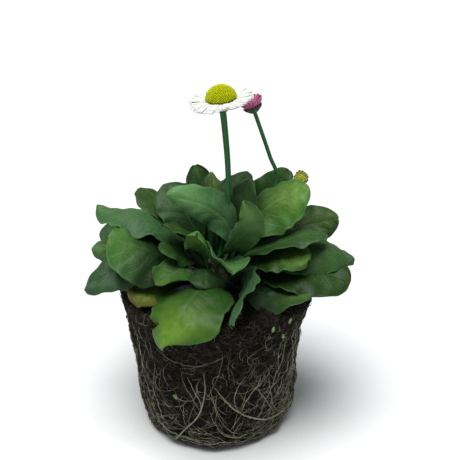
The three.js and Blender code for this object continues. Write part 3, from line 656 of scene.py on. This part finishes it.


# What each blade adds to the build's leaf: its lightness, partly painted light and shade that is raised on
# lit blades and lowered on blades in shade, its yellowing, blue, age and blotches, the painted shade at its
# foot (depth), and relief in millimetres
PLAIN_LOOK = dict(slot='leaf', light=1.0, yellow=0.1, blue=0.1, age=0.0, blotch=0.2, depth=0.2,
                  flutter=1.0, skew=0.0, shear=0.0, point=0.0, swell=0.8, arch=1.0, bulges=())
LOOKS = {
    1: dict(slot='yellow_leaf', light=0.97, depth=0.35, yellow=0.9, blue=0.0, flutter=0.7, arch=1.6,
            skew=-6.0, shear=2.4, bulges=((0.48, -1, 4.6, 0.2), (0.8, 1, 2.6, 0.14))),
    2: dict(light=1.3, depth=0.85, blue=0.15, blotch=0.3, bulges=((0.78, -1, -3.4, 0.05),)),
    3: dict(light=1.35, yellow=0.3, blotch=0.7, flutter=1.2, arch=2.2, swell=1.2),
    4: dict(light=1.6, depth=0.25, blotch=0.9, blue=0.45, arch=2.2, swell=1.0, point=2.0),
    5: dict(light=1.1, blotch=1.0, flutter=1.1, arch=2.0),
    6: dict(light=0.45, flutter=1.3, point=2.6, arch=1.8),
    7: dict(light=0.75),
    8: dict(light=0.7, depth=0.6, yellow=0.4),
    9: dict(light=1.1, yellow=0.2, blue=0.4, flutter=1.5, point=1.0, arch=2.2),
    10: dict(light=0.75, blue=0.6, flutter=1.5, point=1.5),
    11: dict(light=0.95, yellow=0.2, flutter=1.2),
    12: dict(light=1.25, blue=0.3, flutter=1.3, arch=-1.5),
    13: dict(light=0.95, depth=0.6, yellow=0.3),
    14: dict(light=1.4),
    15: dict(light=0.45),
    16: dict(light=0.65, blue=0.5, flutter=1.4, point=3.0),
    17: dict(light=0.75, yellow=0.9, age=0.8, flutter=0.8),
    18: dict(light=0.8, yellow=0.3),
    23: dict(light=0.9, yellow=0.7),
    25: dict(light=0.6),
    26: dict(light=0.65, blue=0.5),
    27: dict(light=0.75),
    28: dict(light=0.55),
    29: dict(light=0.55),
}

leaf_draw = random.Random(3)
for number, row in enumerate(LEAVES, 1):
    own = dict(light=leaf_draw.uniform(0.6, 0.85), yellow=leaf_draw.uniform(0, 0.25),
               blue=leaf_draw.uniform(0, 0.3), blotch=leaf_draw.uniform(0.1, 0.5),
               swell=leaf_draw.uniform(0.6, 1.2), arch=leaf_draw.choice((-1.2, 1.0, 1.8, 2.4)),
               point=leaf_draw.uniform(0, 1.2))
    leaf_piece(number, row, {**PLAIN_LOOK, **own, **LOOKS.get(number, {})})


# Tubes laid along many paths at once

def tube_bundle(paths, radii, sides):
    """Closed tubes along paths (tube x step x 3), each step with its own radius."""
    count, steps, _ = paths.shape
    aheads = normalised(np.gradient(paths, axis=1) + 1e-9)
    side = normalised(np.cross(aheads[:, 0], [0.31, 0.52, 0.79]))
    turns = tau * np.arange(sides) / sides
    rings = []
    for i in range(steps):
        ahead = aheads[:, i]
        side = squared(side, ahead)
        other = np.cross(ahead, side)
        ring = np.cos(turns)[None, :, None] * side[:, None] + np.sin(turns)[None, :, None] * other[:, None]
        rings.append(paths[:, i, None] + radii[:, i, None, None] * ring)
    return np.stack(rings, 1).reshape(-1, 3), ring_faces(steps, sides, count)


def bundle_piece(name, slot, node, paths, radii, sides, lightness, material=None):
    """Tubes that lie on the ball, none of them below the floor."""
    points, faces = tube_bundle(paths, radii, sides)
    points[:, 2] = np.maximum(points[:, 2], FLOOR_CLEAR)
    form = shades(np.repeat(lightness, paths.shape[1] * sides))
    add_piece(name, points, faces, slot, node, material=material, form=form)


# Root ball: a crumbled skin over the build's profile

BALL_SIDE = np.array([
    (27, 0), (30.5, 1), (33, 4), (34.2, 9), (34.5, 22), (35.6, 36), (37.5, 49), (40.4, 59),
    (42, 63.5), (40.5, 66),
])
BALL_TOP = np.array([(35, 66.4), (26, 65.5), (17, 66.2), (11, 66), (6.5, 65.2)])
BALL_LUMP = 0.55
BALL_STEP = 0.72
BALL_COLUMNS = 324
BALL_HOLE = 0.4
WALL_RADIUS = 37.0


def lump(angle, z):
    swell = np.sin(3 * angle + 0.11 * z) + 0.7 * np.sin(7 * angle - 0.23 * z + 1)
    return BALL_LUMP * clamp(z / 5) * (swell + 0.6 * np.sin(13 * angle + 0.37 * z + 2))


def ball_profile():
    """Radius and height at even steps from the middle of the foot to the middle of the top."""
    corners = np.concatenate([[(BALL_HOLE, 0)], BALL_SIDE, BALL_TOP, [(BALL_HOLE, 65)]])
    run = run_along(corners)
    line = found_at(np.linspace(0, run[-1], int(run[-1] / BALL_STEP)), run, corners)
    for _ in range(2):
        line[1:-1] = (line[:-2] + 2 * line[1:-1] + line[2:]) / 4
    return line


PROFILE = ball_profile()
ANGLES = tau * np.arange(BALL_COLUMNS) / BALL_COLUMNS


def crumbled_ball():
    """The skin's points, their outward directions and how far each stands off the smooth ball."""
    radius, z = PROFILE[:, :1], PROFILE[:, 1:]
    wall = np.maximum(clamp((radius - 34) / 3), (z < 60) * clamp(z / 3))
    reach = radius + lump(ANGLES, z) * clamp((radius - 20) / 8) * wall
    along = np.gradient(PROFILE, axis=0)
    out = normalised(np.stack([along[:, 1], -along[:, 0]], -1))
    x, y = np.cos(ANGLES), np.sin(ANGLES)
    smooth = np.stack([reach * x, reach * y, z + 0 * reach], -1)
    normal = np.stack([out[:, :1] * x, out[:, :1] * y, out[:, 1:] + 0 * reach], -1)
    flat = smooth.reshape(-1, 3)
    rough = 0.55 * wrinkle(flat, 0.16, 1) + 0.5 * wrinkle(flat, 0.42, 2) + 0.34 * wrinkle(flat, 1.0, 3)
    crumbs = np.array([0.55 - noise.voronoi(Vector(p) * 0.42)[0][0] for p in flat.tolist()])
    rough = (rough + 0.8 * np.clip(crumbs, -0.2, 0.6)).reshape(reach.shape)
    rough = np.where(z < 0.3, -BALL_CLEAR, rough)
    points = smooth + normal * rough[..., None]
    points[..., 2] = np.maximum(points[..., 2], BALL_CLEAR)
    return points, normal, rough


BALL, BALL_NORMAL, BALL_ROUGH = crumbled_ball()
SIDE_ROWS = np.flatnonzero((PROFILE[:, 0] > 25) & (PROFILE[:, 1] < 65.9))


def row_of_height(z):
    """The ball's row at a height on its side."""
    return np.interp(z, PROFILE[SIDE_ROWS, 1], SIDE_ROWS)


def on_ball(angles, rows, lift):
    """Points that lie on the crumbled skin, lifted along its outward direction."""
    rows = np.clip(rows, 1, len(PROFILE) - 2.001)
    columns = (np.asarray(angles) / tau * BALL_COLUMNS) % BALL_COLUMNS
    i, j = np.floor(rows).astype(int), np.floor(columns).astype(int) % BALL_COLUMNS
    a, b = (rows - i)[..., None], (columns - np.floor(columns))[..., None]
    k = (j + 1) % BALL_COLUMNS

    def blend(grid):
        near = grid[i, j] * (1 - a) + grid[i + 1, j] * a
        far = grid[i, k] * (1 - a) + grid[i + 1, k] * a
        return near * (1 - b) + far * b

    return blend(BALL) + blend(BALL_NORMAL) * np.asarray(lift)[..., None]


def soil_piece():
    # Lightness follows how far the skin stands off the smooth ball: painted shade in its hollows and painted
    # light on its raised crumbs.
    form = shades(clamp(0.18 + 0.42 * BALL_ROUGH.ravel()))
    faces = ring_faces(len(PROFILE), BALL_COLUMNS)
    add_piece("peat_ball", BALL.reshape(-1, 3), faces, "soil", "soil", form=form)


soil_piece()
dice = np.random.default_rng(17)
LOWEST_ROW = SIDE_ROWS[0] + 2


def wander(count, steps, angles, rows, headings, lengths, curl, settle=0.0):
    """Paths over the skin: each starts at an angle and row, turns slowly and settles level near the foot."""
    stride = lengths / (steps - 1)
    bow = dice.normal(0, curl * 1.6, count)
    path = [(angles, rows)]
    for _ in range(steps - 1):
        headings = headings + dice.normal(0, curl, count) + bow
        low = settle * clamp((row_of_height(20) - rows) / 22)
        angles = angles + stride * np.cos(headings) * (1 + low) / WALL_RADIUS
        rows = np.maximum(rows + stride * np.sin(headings) * (1 - low) / BALL_STEP, LOWEST_ROW)
        path.append((angles, rows))
    return np.stack([step[0] for step in path], 1), np.stack([step[1] for step in path], 1)


def tapered(count, steps, radius, ends):
    share = np.linspace(0, 1, steps)
    slim = np.minimum(1, ends + (1 - ends) * np.minimum(share, 1 - share) * 5)
    return radius[:, None] * slim[None, :] * np.ones((count, 1))


def fibre_piece(name, count, length, thickness, pale):
    """Peat fibres all over the ball, and crumbs that stand off it."""
    steps = 4
    rows = dice.uniform(SIDE_ROWS[0] + 2, SIDE_ROWS[-1] + 14, count)
    angles, rows = wander(count, steps, dice.uniform(0, tau, count), rows,
                          dice.uniform(0, tau, count), dice.uniform(*length, count), 0.25)
    arch = np.sin(np.linspace(0, pi, steps))[None, :] * dice.uniform(0, 0.6, (count, 1))
    lift = dice.uniform(-0.05, 0.4, (count, 1)) + arch
    radii = tapered(count, steps, dice.uniform(*thickness, count), 0.4)
    bundle_piece(name, "soil", "soil", on_ball(angles, rows, lift), radii, 3, dice.beta(*pale, count),
                 material="fibre")


fibre_piece("peat_fibres", 7200, length=(2.0, 7.0), thickness=(0.06, 0.13), pale=(1.1, 2.4))
fibre_piece("peat_crumbs", 6400, length=(0.7, 2.2), thickness=(0.08, 0.20), pale=(1.0, 2.8))


def root_net(name, count, length, thickness, low, scatter, curl):
    """Slim roots that run down the ball and turn along its foot, most of them at its lower half."""
    steps = 14
    height = 62 * dice.beta(1.1, low, count) + 2
    down = np.where(dice.random(count) < 0.5, -pi / 2, -pi / 2 + dice.choice([-1, 1], count) * 0.6)
    headings = down + dice.normal(0, scatter, count)
    around = np.where(dice.random(count) < 0.3, dice.normal(-0.35, 0.35, count),
                      dice.uniform(0, tau, count))
    angles, rows = wander(count, steps, around, row_of_height(height), headings,
                          dice.uniform(*length, count), curl, 0.9)
    arch = np.sin(np.linspace(0, tau, steps))[None, :] ** 2 * dice.uniform(0, 0.6, (count, 1))
    radii = tapered(count, steps, dice.uniform(*thickness, count), 0.35)
    bundle_piece(name, "root", "roots", on_ball(angles, rows, 0.12 + arch), radii, 4,
                 dice.beta(1.3, 2.0, count))


root_net("root_net", 360, (9, 30), (0.07, 0.15), low=2.1, scatter=0.4, curl=0.07)
root_net("root_hairs", 760, (3, 9), (0.05, 0.1), low=1.1, scatter=1.0, curl=0.16)


def smooth_path(points, steps):
    """A smooth curve through a few points, at even steps."""
    points = np.asarray(points, dtype=float)
    ends = [2 * points[0] - points[1], *points, 2 * points[-1] - points[-2]]
    found = []
    for a, b, c, d in zip(ends, ends[1:], ends[2:], ends[3:]):
        first, second, third = (np.linalg.norm(q - p) ** 0.5 + 1e-6 for p, q in ((a, b), (b, c), (c, d)))
        leave = ((b - a) / first - (c - a) / (first + second) + (c - b) / second) * second
        arrive = ((c - b) / second - (d - b) / (second + third) + (d - c) / third) * second
        for u in np.linspace(0, 1, 24, endpoint=False):
            found.append(b + leave * u + (3 * (c - b) - 2 * leave - arrive) * u ** 2
                         + (2 * (b - c) + leave + arrive) * u ** 3)
    found = np.array(found + [points[-1]])
    run = run_along(found)
    return found_at(np.linspace(0, run[-1], steps), run, found)


# The strongest roots seen in the photo: compass angle and height along each, and its radius
MAIN_ROOTS = [
    ([(-97, 43), (-97, 34), (-99, 25), (-102, 20), (-109, 14), (-116, 8), (-122, 4), (-128, 5),
      (-130, 11)], 0.42),
    ([(-109, 39), (-106, 34), (-100, 27), (-100, 23)], 0.24),
    ([(-113, 41), (-111, 34), (-104, 27), (-101, 22)], 0.20),
    ([(-87, 31), (-79, 24), (-72, 20), (-62, 16), (-49, 12), (-36, 11), (-20, 12)], 0.40),
    ([(-92, 38), (-86, 31), (-77, 23), (-68, 18)], 0.22),
    ([(-70, 41), (-75, 34), (-77, 27), (-73, 21), (-64, 16)], 0.26),
    ([(-58, 40), (-62, 32), (-69, 25), (-73, 20)], 0.24),
    ([(-50, 42), (-58, 35), (-67, 27), (-71, 22)], 0.18),
    ([(-67, 36), (-57, 28), (-46, 17), (-40, 12)], 0.24),
    ([(-36, 50), (-44, 38), (-50, 28), (-56, 18), (-60, 15)], 0.22),
    ([(-31, 44), (-36, 33), (-45, 22), (-50, 13)], 0.20),
    ([(-24, 55), (-26, 42), (-24, 30), (-30, 18), (-34, 12)], 0.24),
    ([(-18, 58), (-21, 46), (-19, 34), (-22, 22), (-28, 13)], 0.20),
    ([(-30, 60), (-30, 50), (-27, 40), (-25, 26)], 0.18),
    ([(-150, 36), (-146, 25), (-140, 16), (-128, 9), (-112, 7), (-100, 6)], 0.24),
    ([(-142, 34), (-139, 24), (-133, 17), (-126, 11)], 0.18),
    ([(-150, 58), (-152, 46), (-149, 34)], 0.18),
    ([(-141, 60), (-143, 50), (-140, 41)], 0.16),
    ([(-118, 5), (-100, 5), (-84, 6), (-70, 4), (-56, 6)], 0.20),
    ([(-90, 15), (-80, 9), (-66, 8), (-50, 5), (-36, 8)], 0.18),
    ([(-94, 22), (-90, 15), (-84, 10), (-76, 8)], 0.16),
]
MAIN_ROOT_STEPS = 40


def main_roots():
    """The strong roots, and plainer ones of the same kind round the back."""
    routes = list(MAIN_ROOTS)
    draw = random.Random(23)
    for turn in (95, 140, 200, 250):
        for route, radius in MAIN_ROOTS[::2]:
            shift, lift = turn + draw.uniform(-12, 12), draw.uniform(-3, 3)
            moved = [(angle + shift, max(3, z + lift)) for angle, z in route]
            routes.append((moved, radius * draw.uniform(0.7, 1)))
    share = np.linspace(0, 1, MAIN_ROOT_STEPS)
    slim = 0.66 * clamp(0.35 + 2.2 * share) * clamp(0.4 + 3 * (1 - share))
    paths = []
    for route, radius in routes:
        line = smooth_path([(WALL_RADIUS * radians(angle), z) for angle, z in route], MAIN_ROOT_STEPS)
        wobble = 0.25 * np.sin(np.arange(MAIN_ROOT_STEPS) * 0.5 + radius * 40)
        paths.append(on_ball(line[:, 0] / WALL_RADIUS + 0.012 * wobble, row_of_height(line[:, 1]),
                             radius + 0.25 + 0.1 * wobble))
    radii = np.array([radius for _, radius in routes])[:, None] * slim
    lightness = np.array([0.5 + 0.4 * draw.random() for _ in routes])
    bundle_piece("main_roots", "root", "roots", np.stack(paths), radii, 8, lightness)


main_roots()

# Scraps of leaf that stick to the ball: compass angle and height
SCRAPS = [(-119, 27), (-46, 56), (-55, 62), (-43, 63)]
SCRAP_LENGTH = 1.3
SCRAP_WIDTH = 0.75
SCRAP_HALF = 0.12


def scraps():
    made = Builder()
    rows = np.linspace(-1, 1, 7)
    columns = np.sqrt(np.clip(1.02 - rows ** 2, 0.02, 1))[:, None] * np.linspace(-1, 1, 5)
    for number, (angle, z) in enumerate(SCRAPS):
        angle = radians(angle)
        centre = on_ball(np.array([angle]), row_of_height(np.array([z])), np.array([0.5]))[0]
        out, side = facing(angle)
        lean = 0.5 * number - 0.8
        ahead = np.array([0, 0, math.cos(lean)]) + side * math.sin(lean)
        across = np.cross(out, ahead)
        middle = (centre + ahead * (SCRAP_LENGTH * rows)[:, None, None]
                  + across * (SCRAP_WIDTH * columns)[..., None]
                  + out * (0.5 - 0.35 * columns ** 2 - 0.25 * rows[:, None] ** 2)[..., None])
        made.add(both_sides(middle + out * SCRAP_HALF, middle - out * SCRAP_HALF), plate_faces(7, 5), 0.5)
    made.build("leaf_scraps", "leaf", material="flake")


scraps()


# Flower heads

def stray(draw, span):
    """A random amount up to half the span to either side."""
    return span * (draw.random() - 0.5)


def placed(kind, points):
    """Points of a head, moved from its own upright frame to its place and lean."""
    head = HEADS[kind]
    side = facing(radians(head["towards"]))[1]
    turn = Matrix.Rotation(radians(head["lean"]), 3, Vector(side))
    return points @ np.array(turn).T + np.array(head["centre"])


RAY_COLUMNS = np.array([-1, -0.72, -0.36, 0, 0.36, 0.72, 1.0])


def ray_plate(angle, start, z, length, width, slope, bend, thick, channel, rows=10, tip=0.55,
              side_bend=0.0, hollow=0.18):
    """A narrow ray with two shallow channels and a blunt tip, bending as the build's straps do."""
    columns = RAY_COLUMNS
    t = np.linspace(0, 1, rows)
    pitch = np.radians(slope + bend * t)
    mean = np.radians(slope + bend * t / 2)
    share = np.where(t < 0.7, 0.62 + 0.38 * np.sin(clamp(t / 0.45) * pi / 2),
                     np.sqrt(clamp(1 - clamp((t - 0.7) / 0.3) ** 2.4 * (1 - tip ** 2))))
    out, side = facing(angle)
    centre = out * (start + length * t * np.cos(mean))[:, None] + side * (side_bend * t * t)[:, None]
    centre[:, 2] = z + length * t * np.sin(mean)
    normal = -out * np.sin(pitch)[:, None] + np.array([0, 0, 1]) * np.cos(pitch)[:, None]
    dip = -channel * (np.cos(tau * columns) * 0.5 + 0.5) + hollow * width * (columns ** 2 - 0.4)
    middle = (centre[:, None] + side * (columns[None, :, None] * (share * width / 2)[:, None, None])
              + normal[:, None] * dip[None, :, None] * share[:, None, None])
    notch = -0.108 * width * (1 - np.abs(np.abs(columns) - 0.45) * 2)
    middle[-1] += out * math.cos(pitch[-1]) * notch[:, None]
    rim = normal[:, None] * (thick / 2 * np.sqrt(1.05 - columns ** 4))[None, :, None]
    return both_sides(middle + rim, middle - rim), plate_faces(rows, len(columns)), np.tile(
        np.repeat(t, len(columns)), 2)


def lathe(profile, sides, wobble=lambda turns: 0 * turns):
    """A closed turned body from radius and height pairs."""
    profile = np.asarray(profile, dtype=float)
    turns = tau * np.arange(sides) / sides
    radius = profile[:, :1] * (1 + wobble(turns))
    points = np.stack([radius * np.cos(turns), radius * np.sin(turns), profile[:, 1:] + 0 * radius], -1)
    return points.reshape(-1, 3), ring_faces(len(profile), sides)


WHITE_LAYERS = ((-1, 30), (0, 28), (1, 26), (2, 10))


def white_rays():
    """Rows of narrow rays on a hidden ring; the front ones are shorter and droop most at the left."""
    draw = random.Random(5)
    made = Builder("white")
    made.add(*lathe([(0.5, 0.02), (6.3, 0.02), (6.3, 0.42), (0.5, 0.42)], 36), 0.4)
    for layer, count in WHITE_LAYERS:
        for i in range(count):
            angle = tau * (i + 0.5 * layer + stray(draw, 0.35)) / count
            front = max(0.0, -math.sin(angle))
            left = 0.5 - 0.5 * math.cos(angle)
            points, faces, t = ray_plate(
                angle, 5.2, 0.2 + 0.15 * layer,
                length=(1 - 0.3 * front ** 8) * (7.9 + 0.8 * draw.random() - 0.6 * abs(layer)),
                width=2.9 + 0.4 * draw.random(), slope=16 + 1.8 * layer + stray(draw, 1.4),
                bend=-18 - 44 * front * left - 4 * draw.random(), thick=0.14, channel=0.05, tip=0.7,
                side_bend=stray(draw, 0.7), hollow=-0.03)
            # Each ray is darker near the disc: painted shade at its base.
            made.add(points, faces, (0.75 + 0.25 * draw.random()) * (0.7 + 0.3 * clamp(t * 1.6)))
    made.build("white_ray_ring", "white_ray", "white_rays")


# A floret's rings: radius and height as shares of its own, from its hidden foot to its dimpled tip
FLORET_RINGS = np.array([(0.55, -0.5), (0.85, 0.1), (1.0, 0.5), (0.72, 0.88), (0.25, 1.0)])
FLORET_SIDES = 6


def floret(at, normal, radius, height):
    """One knob of the dome."""
    side = normalised(np.cross(normal, [0.2, 0.9, 0.4]))
    turns = tau * np.arange(FLORET_SIDES) / FLORET_SIDES
    around = np.cos(turns)[:, None] * side + np.sin(turns)[:, None] * np.cross(normal, side)
    points = [at + around * radius * r + normal * height * h for r, h in FLORET_RINGS]
    return np.concatenate(points), ring_faces(len(FLORET_RINGS), FLORET_SIDES)


def floret_dome(kind, radius, height, base, count, size, slot):
    """A closed dome set with florets along a golden spiral, lightest at the top and darker towards its foot:
    painted light and shade.
    """
    draw = random.Random(len(kind))
    made = Builder(kind)
    curve = [(radius * 0.93 * math.sin(a), base + height * 0.93 * math.cos(a))
             for a in np.linspace(pi / 2, 0.06, 12)]
    made.add(*lathe([(0.5, base - 0.6), (radius * 0.85, base - 0.6), *curve], 32), 0.0)
    golden = pi * (3 - math.sqrt(5))
    for i in range(count):
        share = (i + 0.5) / count
        slant = math.acos(1 - share * 0.985)
        at = facing(golden * i)[0] * radius * 0.95 * math.sin(slant)
        at[2] = base + height * 0.94 * math.cos(slant)
        normal = normalised((at - [0, 0, base]) / [radius ** 2, radius ** 2, height ** 2])
        points, faces = floret(at, normal, size * draw.uniform(0.85, 1.1), size * draw.uniform(1.0, 1.7))
        made.add(points, faces, clamp(0.35 + 0.5 * (1 - share) + stray(draw, 0.3)))
    made.build(kind + "_florets", slot, kind + "_disc")


BRACT_ROWS = 8
BRACT_COLUMNS = np.array([-1, -0.5, 0, 0.5, 1.0])
BRACT_HALF = 0.1


def bract_cup(kind, radius, depth, stem, count):
    """The cup under a head: a fleshy base and two rows of pointed bracts laid against it."""
    draw = random.Random(len(kind) + 40)
    made = Builder(kind)
    shape = [(stem * 0.9, -depth - 0.15), (stem, -depth), (radius * 0.62, -depth * 0.7),
             (radius * 0.93, -depth * 0.35), (radius * 0.98, -0.12), (radius * 0.5, -0.05)]
    made.add(*lathe(shape, 2 * count, lambda a: 0.03 * np.cos(count * a)), 0.25)
    run = np.array(shape[1:5])
    t = np.linspace(0, 1, BRACT_ROWS)
    reach, z = found_at(t, np.linspace(0, 1, 4), run).T
    share = np.where(t < 0.6, 0.5 + 0.5 * np.sin(t / 0.6 * pi / 2), 1 - clamp((t - 0.6) / 0.42) ** 1.6)
    half = np.maximum(0.62 * tau * radius / count * share, BRACT_HALF) / 2
    bow = 0.16 * (1 - BRACT_COLUMNS ** 2)
    faces = [face[::-1] for face in plate_faces(BRACT_ROWS, len(BRACT_COLUMNS))]
    for i in range(count * 2):
        out, side = facing(pi * (i + stray(draw, 0.2)) / count)
        stands = reach + 0.12 + 0.22 * (i % 2) * np.sin(t * pi * 0.7) + 0.25 * t ** 3
        middle = (out * (stands[:, None] + bow)[..., None]
                  + side * (half[:, None] * BRACT_COLUMNS)[..., None])
        middle[..., 2] += (z + 0.12 * t)[:, None]
        lightness = 0.5 * np.tile(np.abs(BRACT_COLUMNS), 2 * BRACT_ROWS) + 0.25 * draw.random()
        made.add(both_sides(middle + out * BRACT_HALF, middle - out * BRACT_HALF), faces, lightness)
    made.build(kind + "_bract_cup", "bract", kind + "_involucre")


def standing_rays(kind, radius, length, count, slope, bend, width, slot, layers=2, curl=0.0):
    """Half open rays that stand up round the florets in rows."""
    draw = random.Random(len(kind) + 9)
    made = Builder(kind)
    made.add(*lathe([(0.5, 0.05), (radius, 0.05), (radius, 0.75), (0.5, 0.75)], 26), 0.3)
    for layer in range(layers):
        for i in range(count):
            angle = tau * (i + 0.5 * layer + stray(draw, 0.4)) / count
            points, faces, t = ray_plate(
                angle, radius - 0.5 - 0.5 * layer, 0.35 + 0.1 * layer,
                length=length * (0.88 + 0.26 * draw.random()), width=width * (0.85 + 0.3 * draw.random()),
                slope=slope + 9 * layer + stray(draw, 12),
                bend=bend + curl * layer + 8 * draw.random(), thick=0.24, channel=0.08, rows=8)
            # The rays are darker at their foot inside the half open head: painted shade.
            made.add(points, faces, clamp(0.25 + 0.3 * draw.random() + 0.3 * t))
    made.build(kind + "_ray_ring", slot, kind + "_rays")


white_rays()
floret_dome("white", radius=6.2, height=5.3, base=1.3, count=480, size=0.36, slot="disc")
bract_cup("white", radius=5.4, depth=4.2, stem=1.7, count=13)
standing_rays("pink", 3.7, 3.2, 24, slope=30, bend=50, width=1.4, slot="pink_ray", layers=3, curl=38)
floret_dome("pink", radius=2.3, height=1.4, base=1.1, count=60, size=0.32, slot="green_disc")
bract_cup("pink", radius=3.6, depth=3.0, stem=1.1, count=11)
standing_rays("bud", 2.7, 2.0, 14, slope=60, bend=10, width=1.15, slot="cream_ray")
floret_dome("bud", radius=2.1, height=1.3, base=1.1, count=56, size=0.3, slot="green_disc")
bract_cup("bud", radius=2.7, depth=3.0, stem=1.0, count=10)

# Stems, ribbed along their length

STEMS = {
    "white": {"via": [(1.6, -1.4, 76.5), (1.8, -1.4, 79), (3.4, -1, 87), (5.4, 0.6, 112)],
              "base": 1.05, "neck": 1.4, "cup": 4.2},
    "pink": {"via": [(1.5, 1.6, 76.5), (1.9, 1.9, 78), (11, 8.5, 87), (26.5, 16.5, 106), (23.1, 17.4, 117)],
             "base": 0.85, "neck": 0.9, "cup": 3.0},
    "bud": {"via": [(6.1, 2.4, 72.5), (15, 7, 80), (29, 13, 93)], "base": 0.8, "neck": 0.85, "cup": 3.0},
}
STEM_SIDES = 24
STEM_RIBS = 6


def stem_piece(kind):
    spec, head = STEMS[kind], HEADS[kind]
    lean = radians(head["lean"])
    axis = facing(radians(head["towards"]))[0] * math.sin(lean)
    axis[2] = math.cos(lean)
    end = np.array(head["centre"]) - axis * (spec["cup"] + 0.3)
    path = smooth_path([*spec["via"], end - axis * 3, end], 70)
    path = np.concatenate([[path[0] + (path[0] - path[1]) * 1.5], path, [end + axis * 0.6]])
    radii = spec["base"] + (spec["neck"] - spec["base"]) * np.linspace(0, 1, len(path)) ** 1.5
    points, faces = tube_bundle(path[None], radii[None], STEM_SIDES)
    turns = tau * np.arange(STEM_SIDES) / STEM_SIDES
    ribs = np.tile(np.cos(STEM_RIBS * turns + 0.4), len(path))
    centres = np.repeat(path, STEM_SIDES, 0)
    points = centres + (points - centres) * (1 + 0.05 * ribs)[:, None]
    # The grooves between the ribs are darker and the ridges lighter: painted shade and light.
    form = shades(clamp(0.45 + 0.45 * ribs))
    add_piece(kind + "_stalk", points, faces, "stem", kind + "_stem", form=form)


for kind in STEMS:
    stem_piece(kind)


def crown_piece():
    """The rootstock with the scars of old leaf feet round it."""
    steps = np.linspace(-CROWN_SUNK + 0.4, CROWN_RISE, 34)
    profile = [(crown_radius(BALL_HEIGHT + h) + 0.16 * math.sin(2.2 * h), BALL_HEIGHT + h) for h in steps]
    profile = [(0.4, profile[0][1]), *profile, (0.4, profile[-1][1] + 0.3)]
    points, faces = lathe(profile, 48, lambda a: 0.03 * np.cos(9 * a) + 0.015 * np.cos(17 * a + 1))
    form = shades(clamp((points[:, 2] - BALL_HEIGHT + 2) / 12))
    add_piece("rootstock", points, faces, "crown", "crown", form=form)


crown_piece()

# Floor, light and camera

def floor_piece():
    made = Shader("pale_floor", Roughness=0.9, Specular_IOR_Level=0.1)
    grain = made.ramp(made.noise(0.02, 4.0), 0.3, 0.7)
    colour = made.mix(grain, (0.66, 0.66, 0.66), (0.69, 0.69, 0.69))
    corners = [(x * FLOOR_HALF, y * FLOOR_HALF, 0) for x, y in ((-1, -1), (1, -1), (1, 1), (-1, 1))]
    make_object("floor", corners, [(0, 1, 2, 3)], made.finish(colour, None, grain, 0.02, 0.2))


floor_piece()

scene = bpy.context.scene
scene.view_settings.view_transform = "Standard"
scene.world = bpy.data.worlds.new("studio")
scene.world.use_nodes = True
sky = scene.world.node_tree.nodes["Background"].inputs
sky["Color"].default_value = SKY_COLOUR
sky["Strength"].default_value = SKY_STRENGTH

sun = bpy.data.lights.new("key", "SUN")
sun.energy = SUN_STRENGTH
sun.angle = radians(SUN_SPREAD)
lamp = bpy.data.objects.new("key", sun)
lamp.rotation_mode = "QUATERNION"
lamp.rotation_quaternion = Vector(SUN_DIRECTION).to_track_quat("-Z", "Y")
scene.collection.objects.link(lamp)

camera = bpy.data.cameras.new("camera")
camera.sensor_width = SENSOR
camera.lens = FOCAL_PIXELS / FRAME_PIXELS * SENSOR
camera.clip_start, camera.clip_end = CLIP_METRES
eye = bpy.data.objects.new("camera", camera)
eye.location = [value * MM for value in EYE]
eye.rotation_euler = (radians(90 - PITCH), 0, 0)
scene.collection.objects.link(eye)
scene.camera = eye
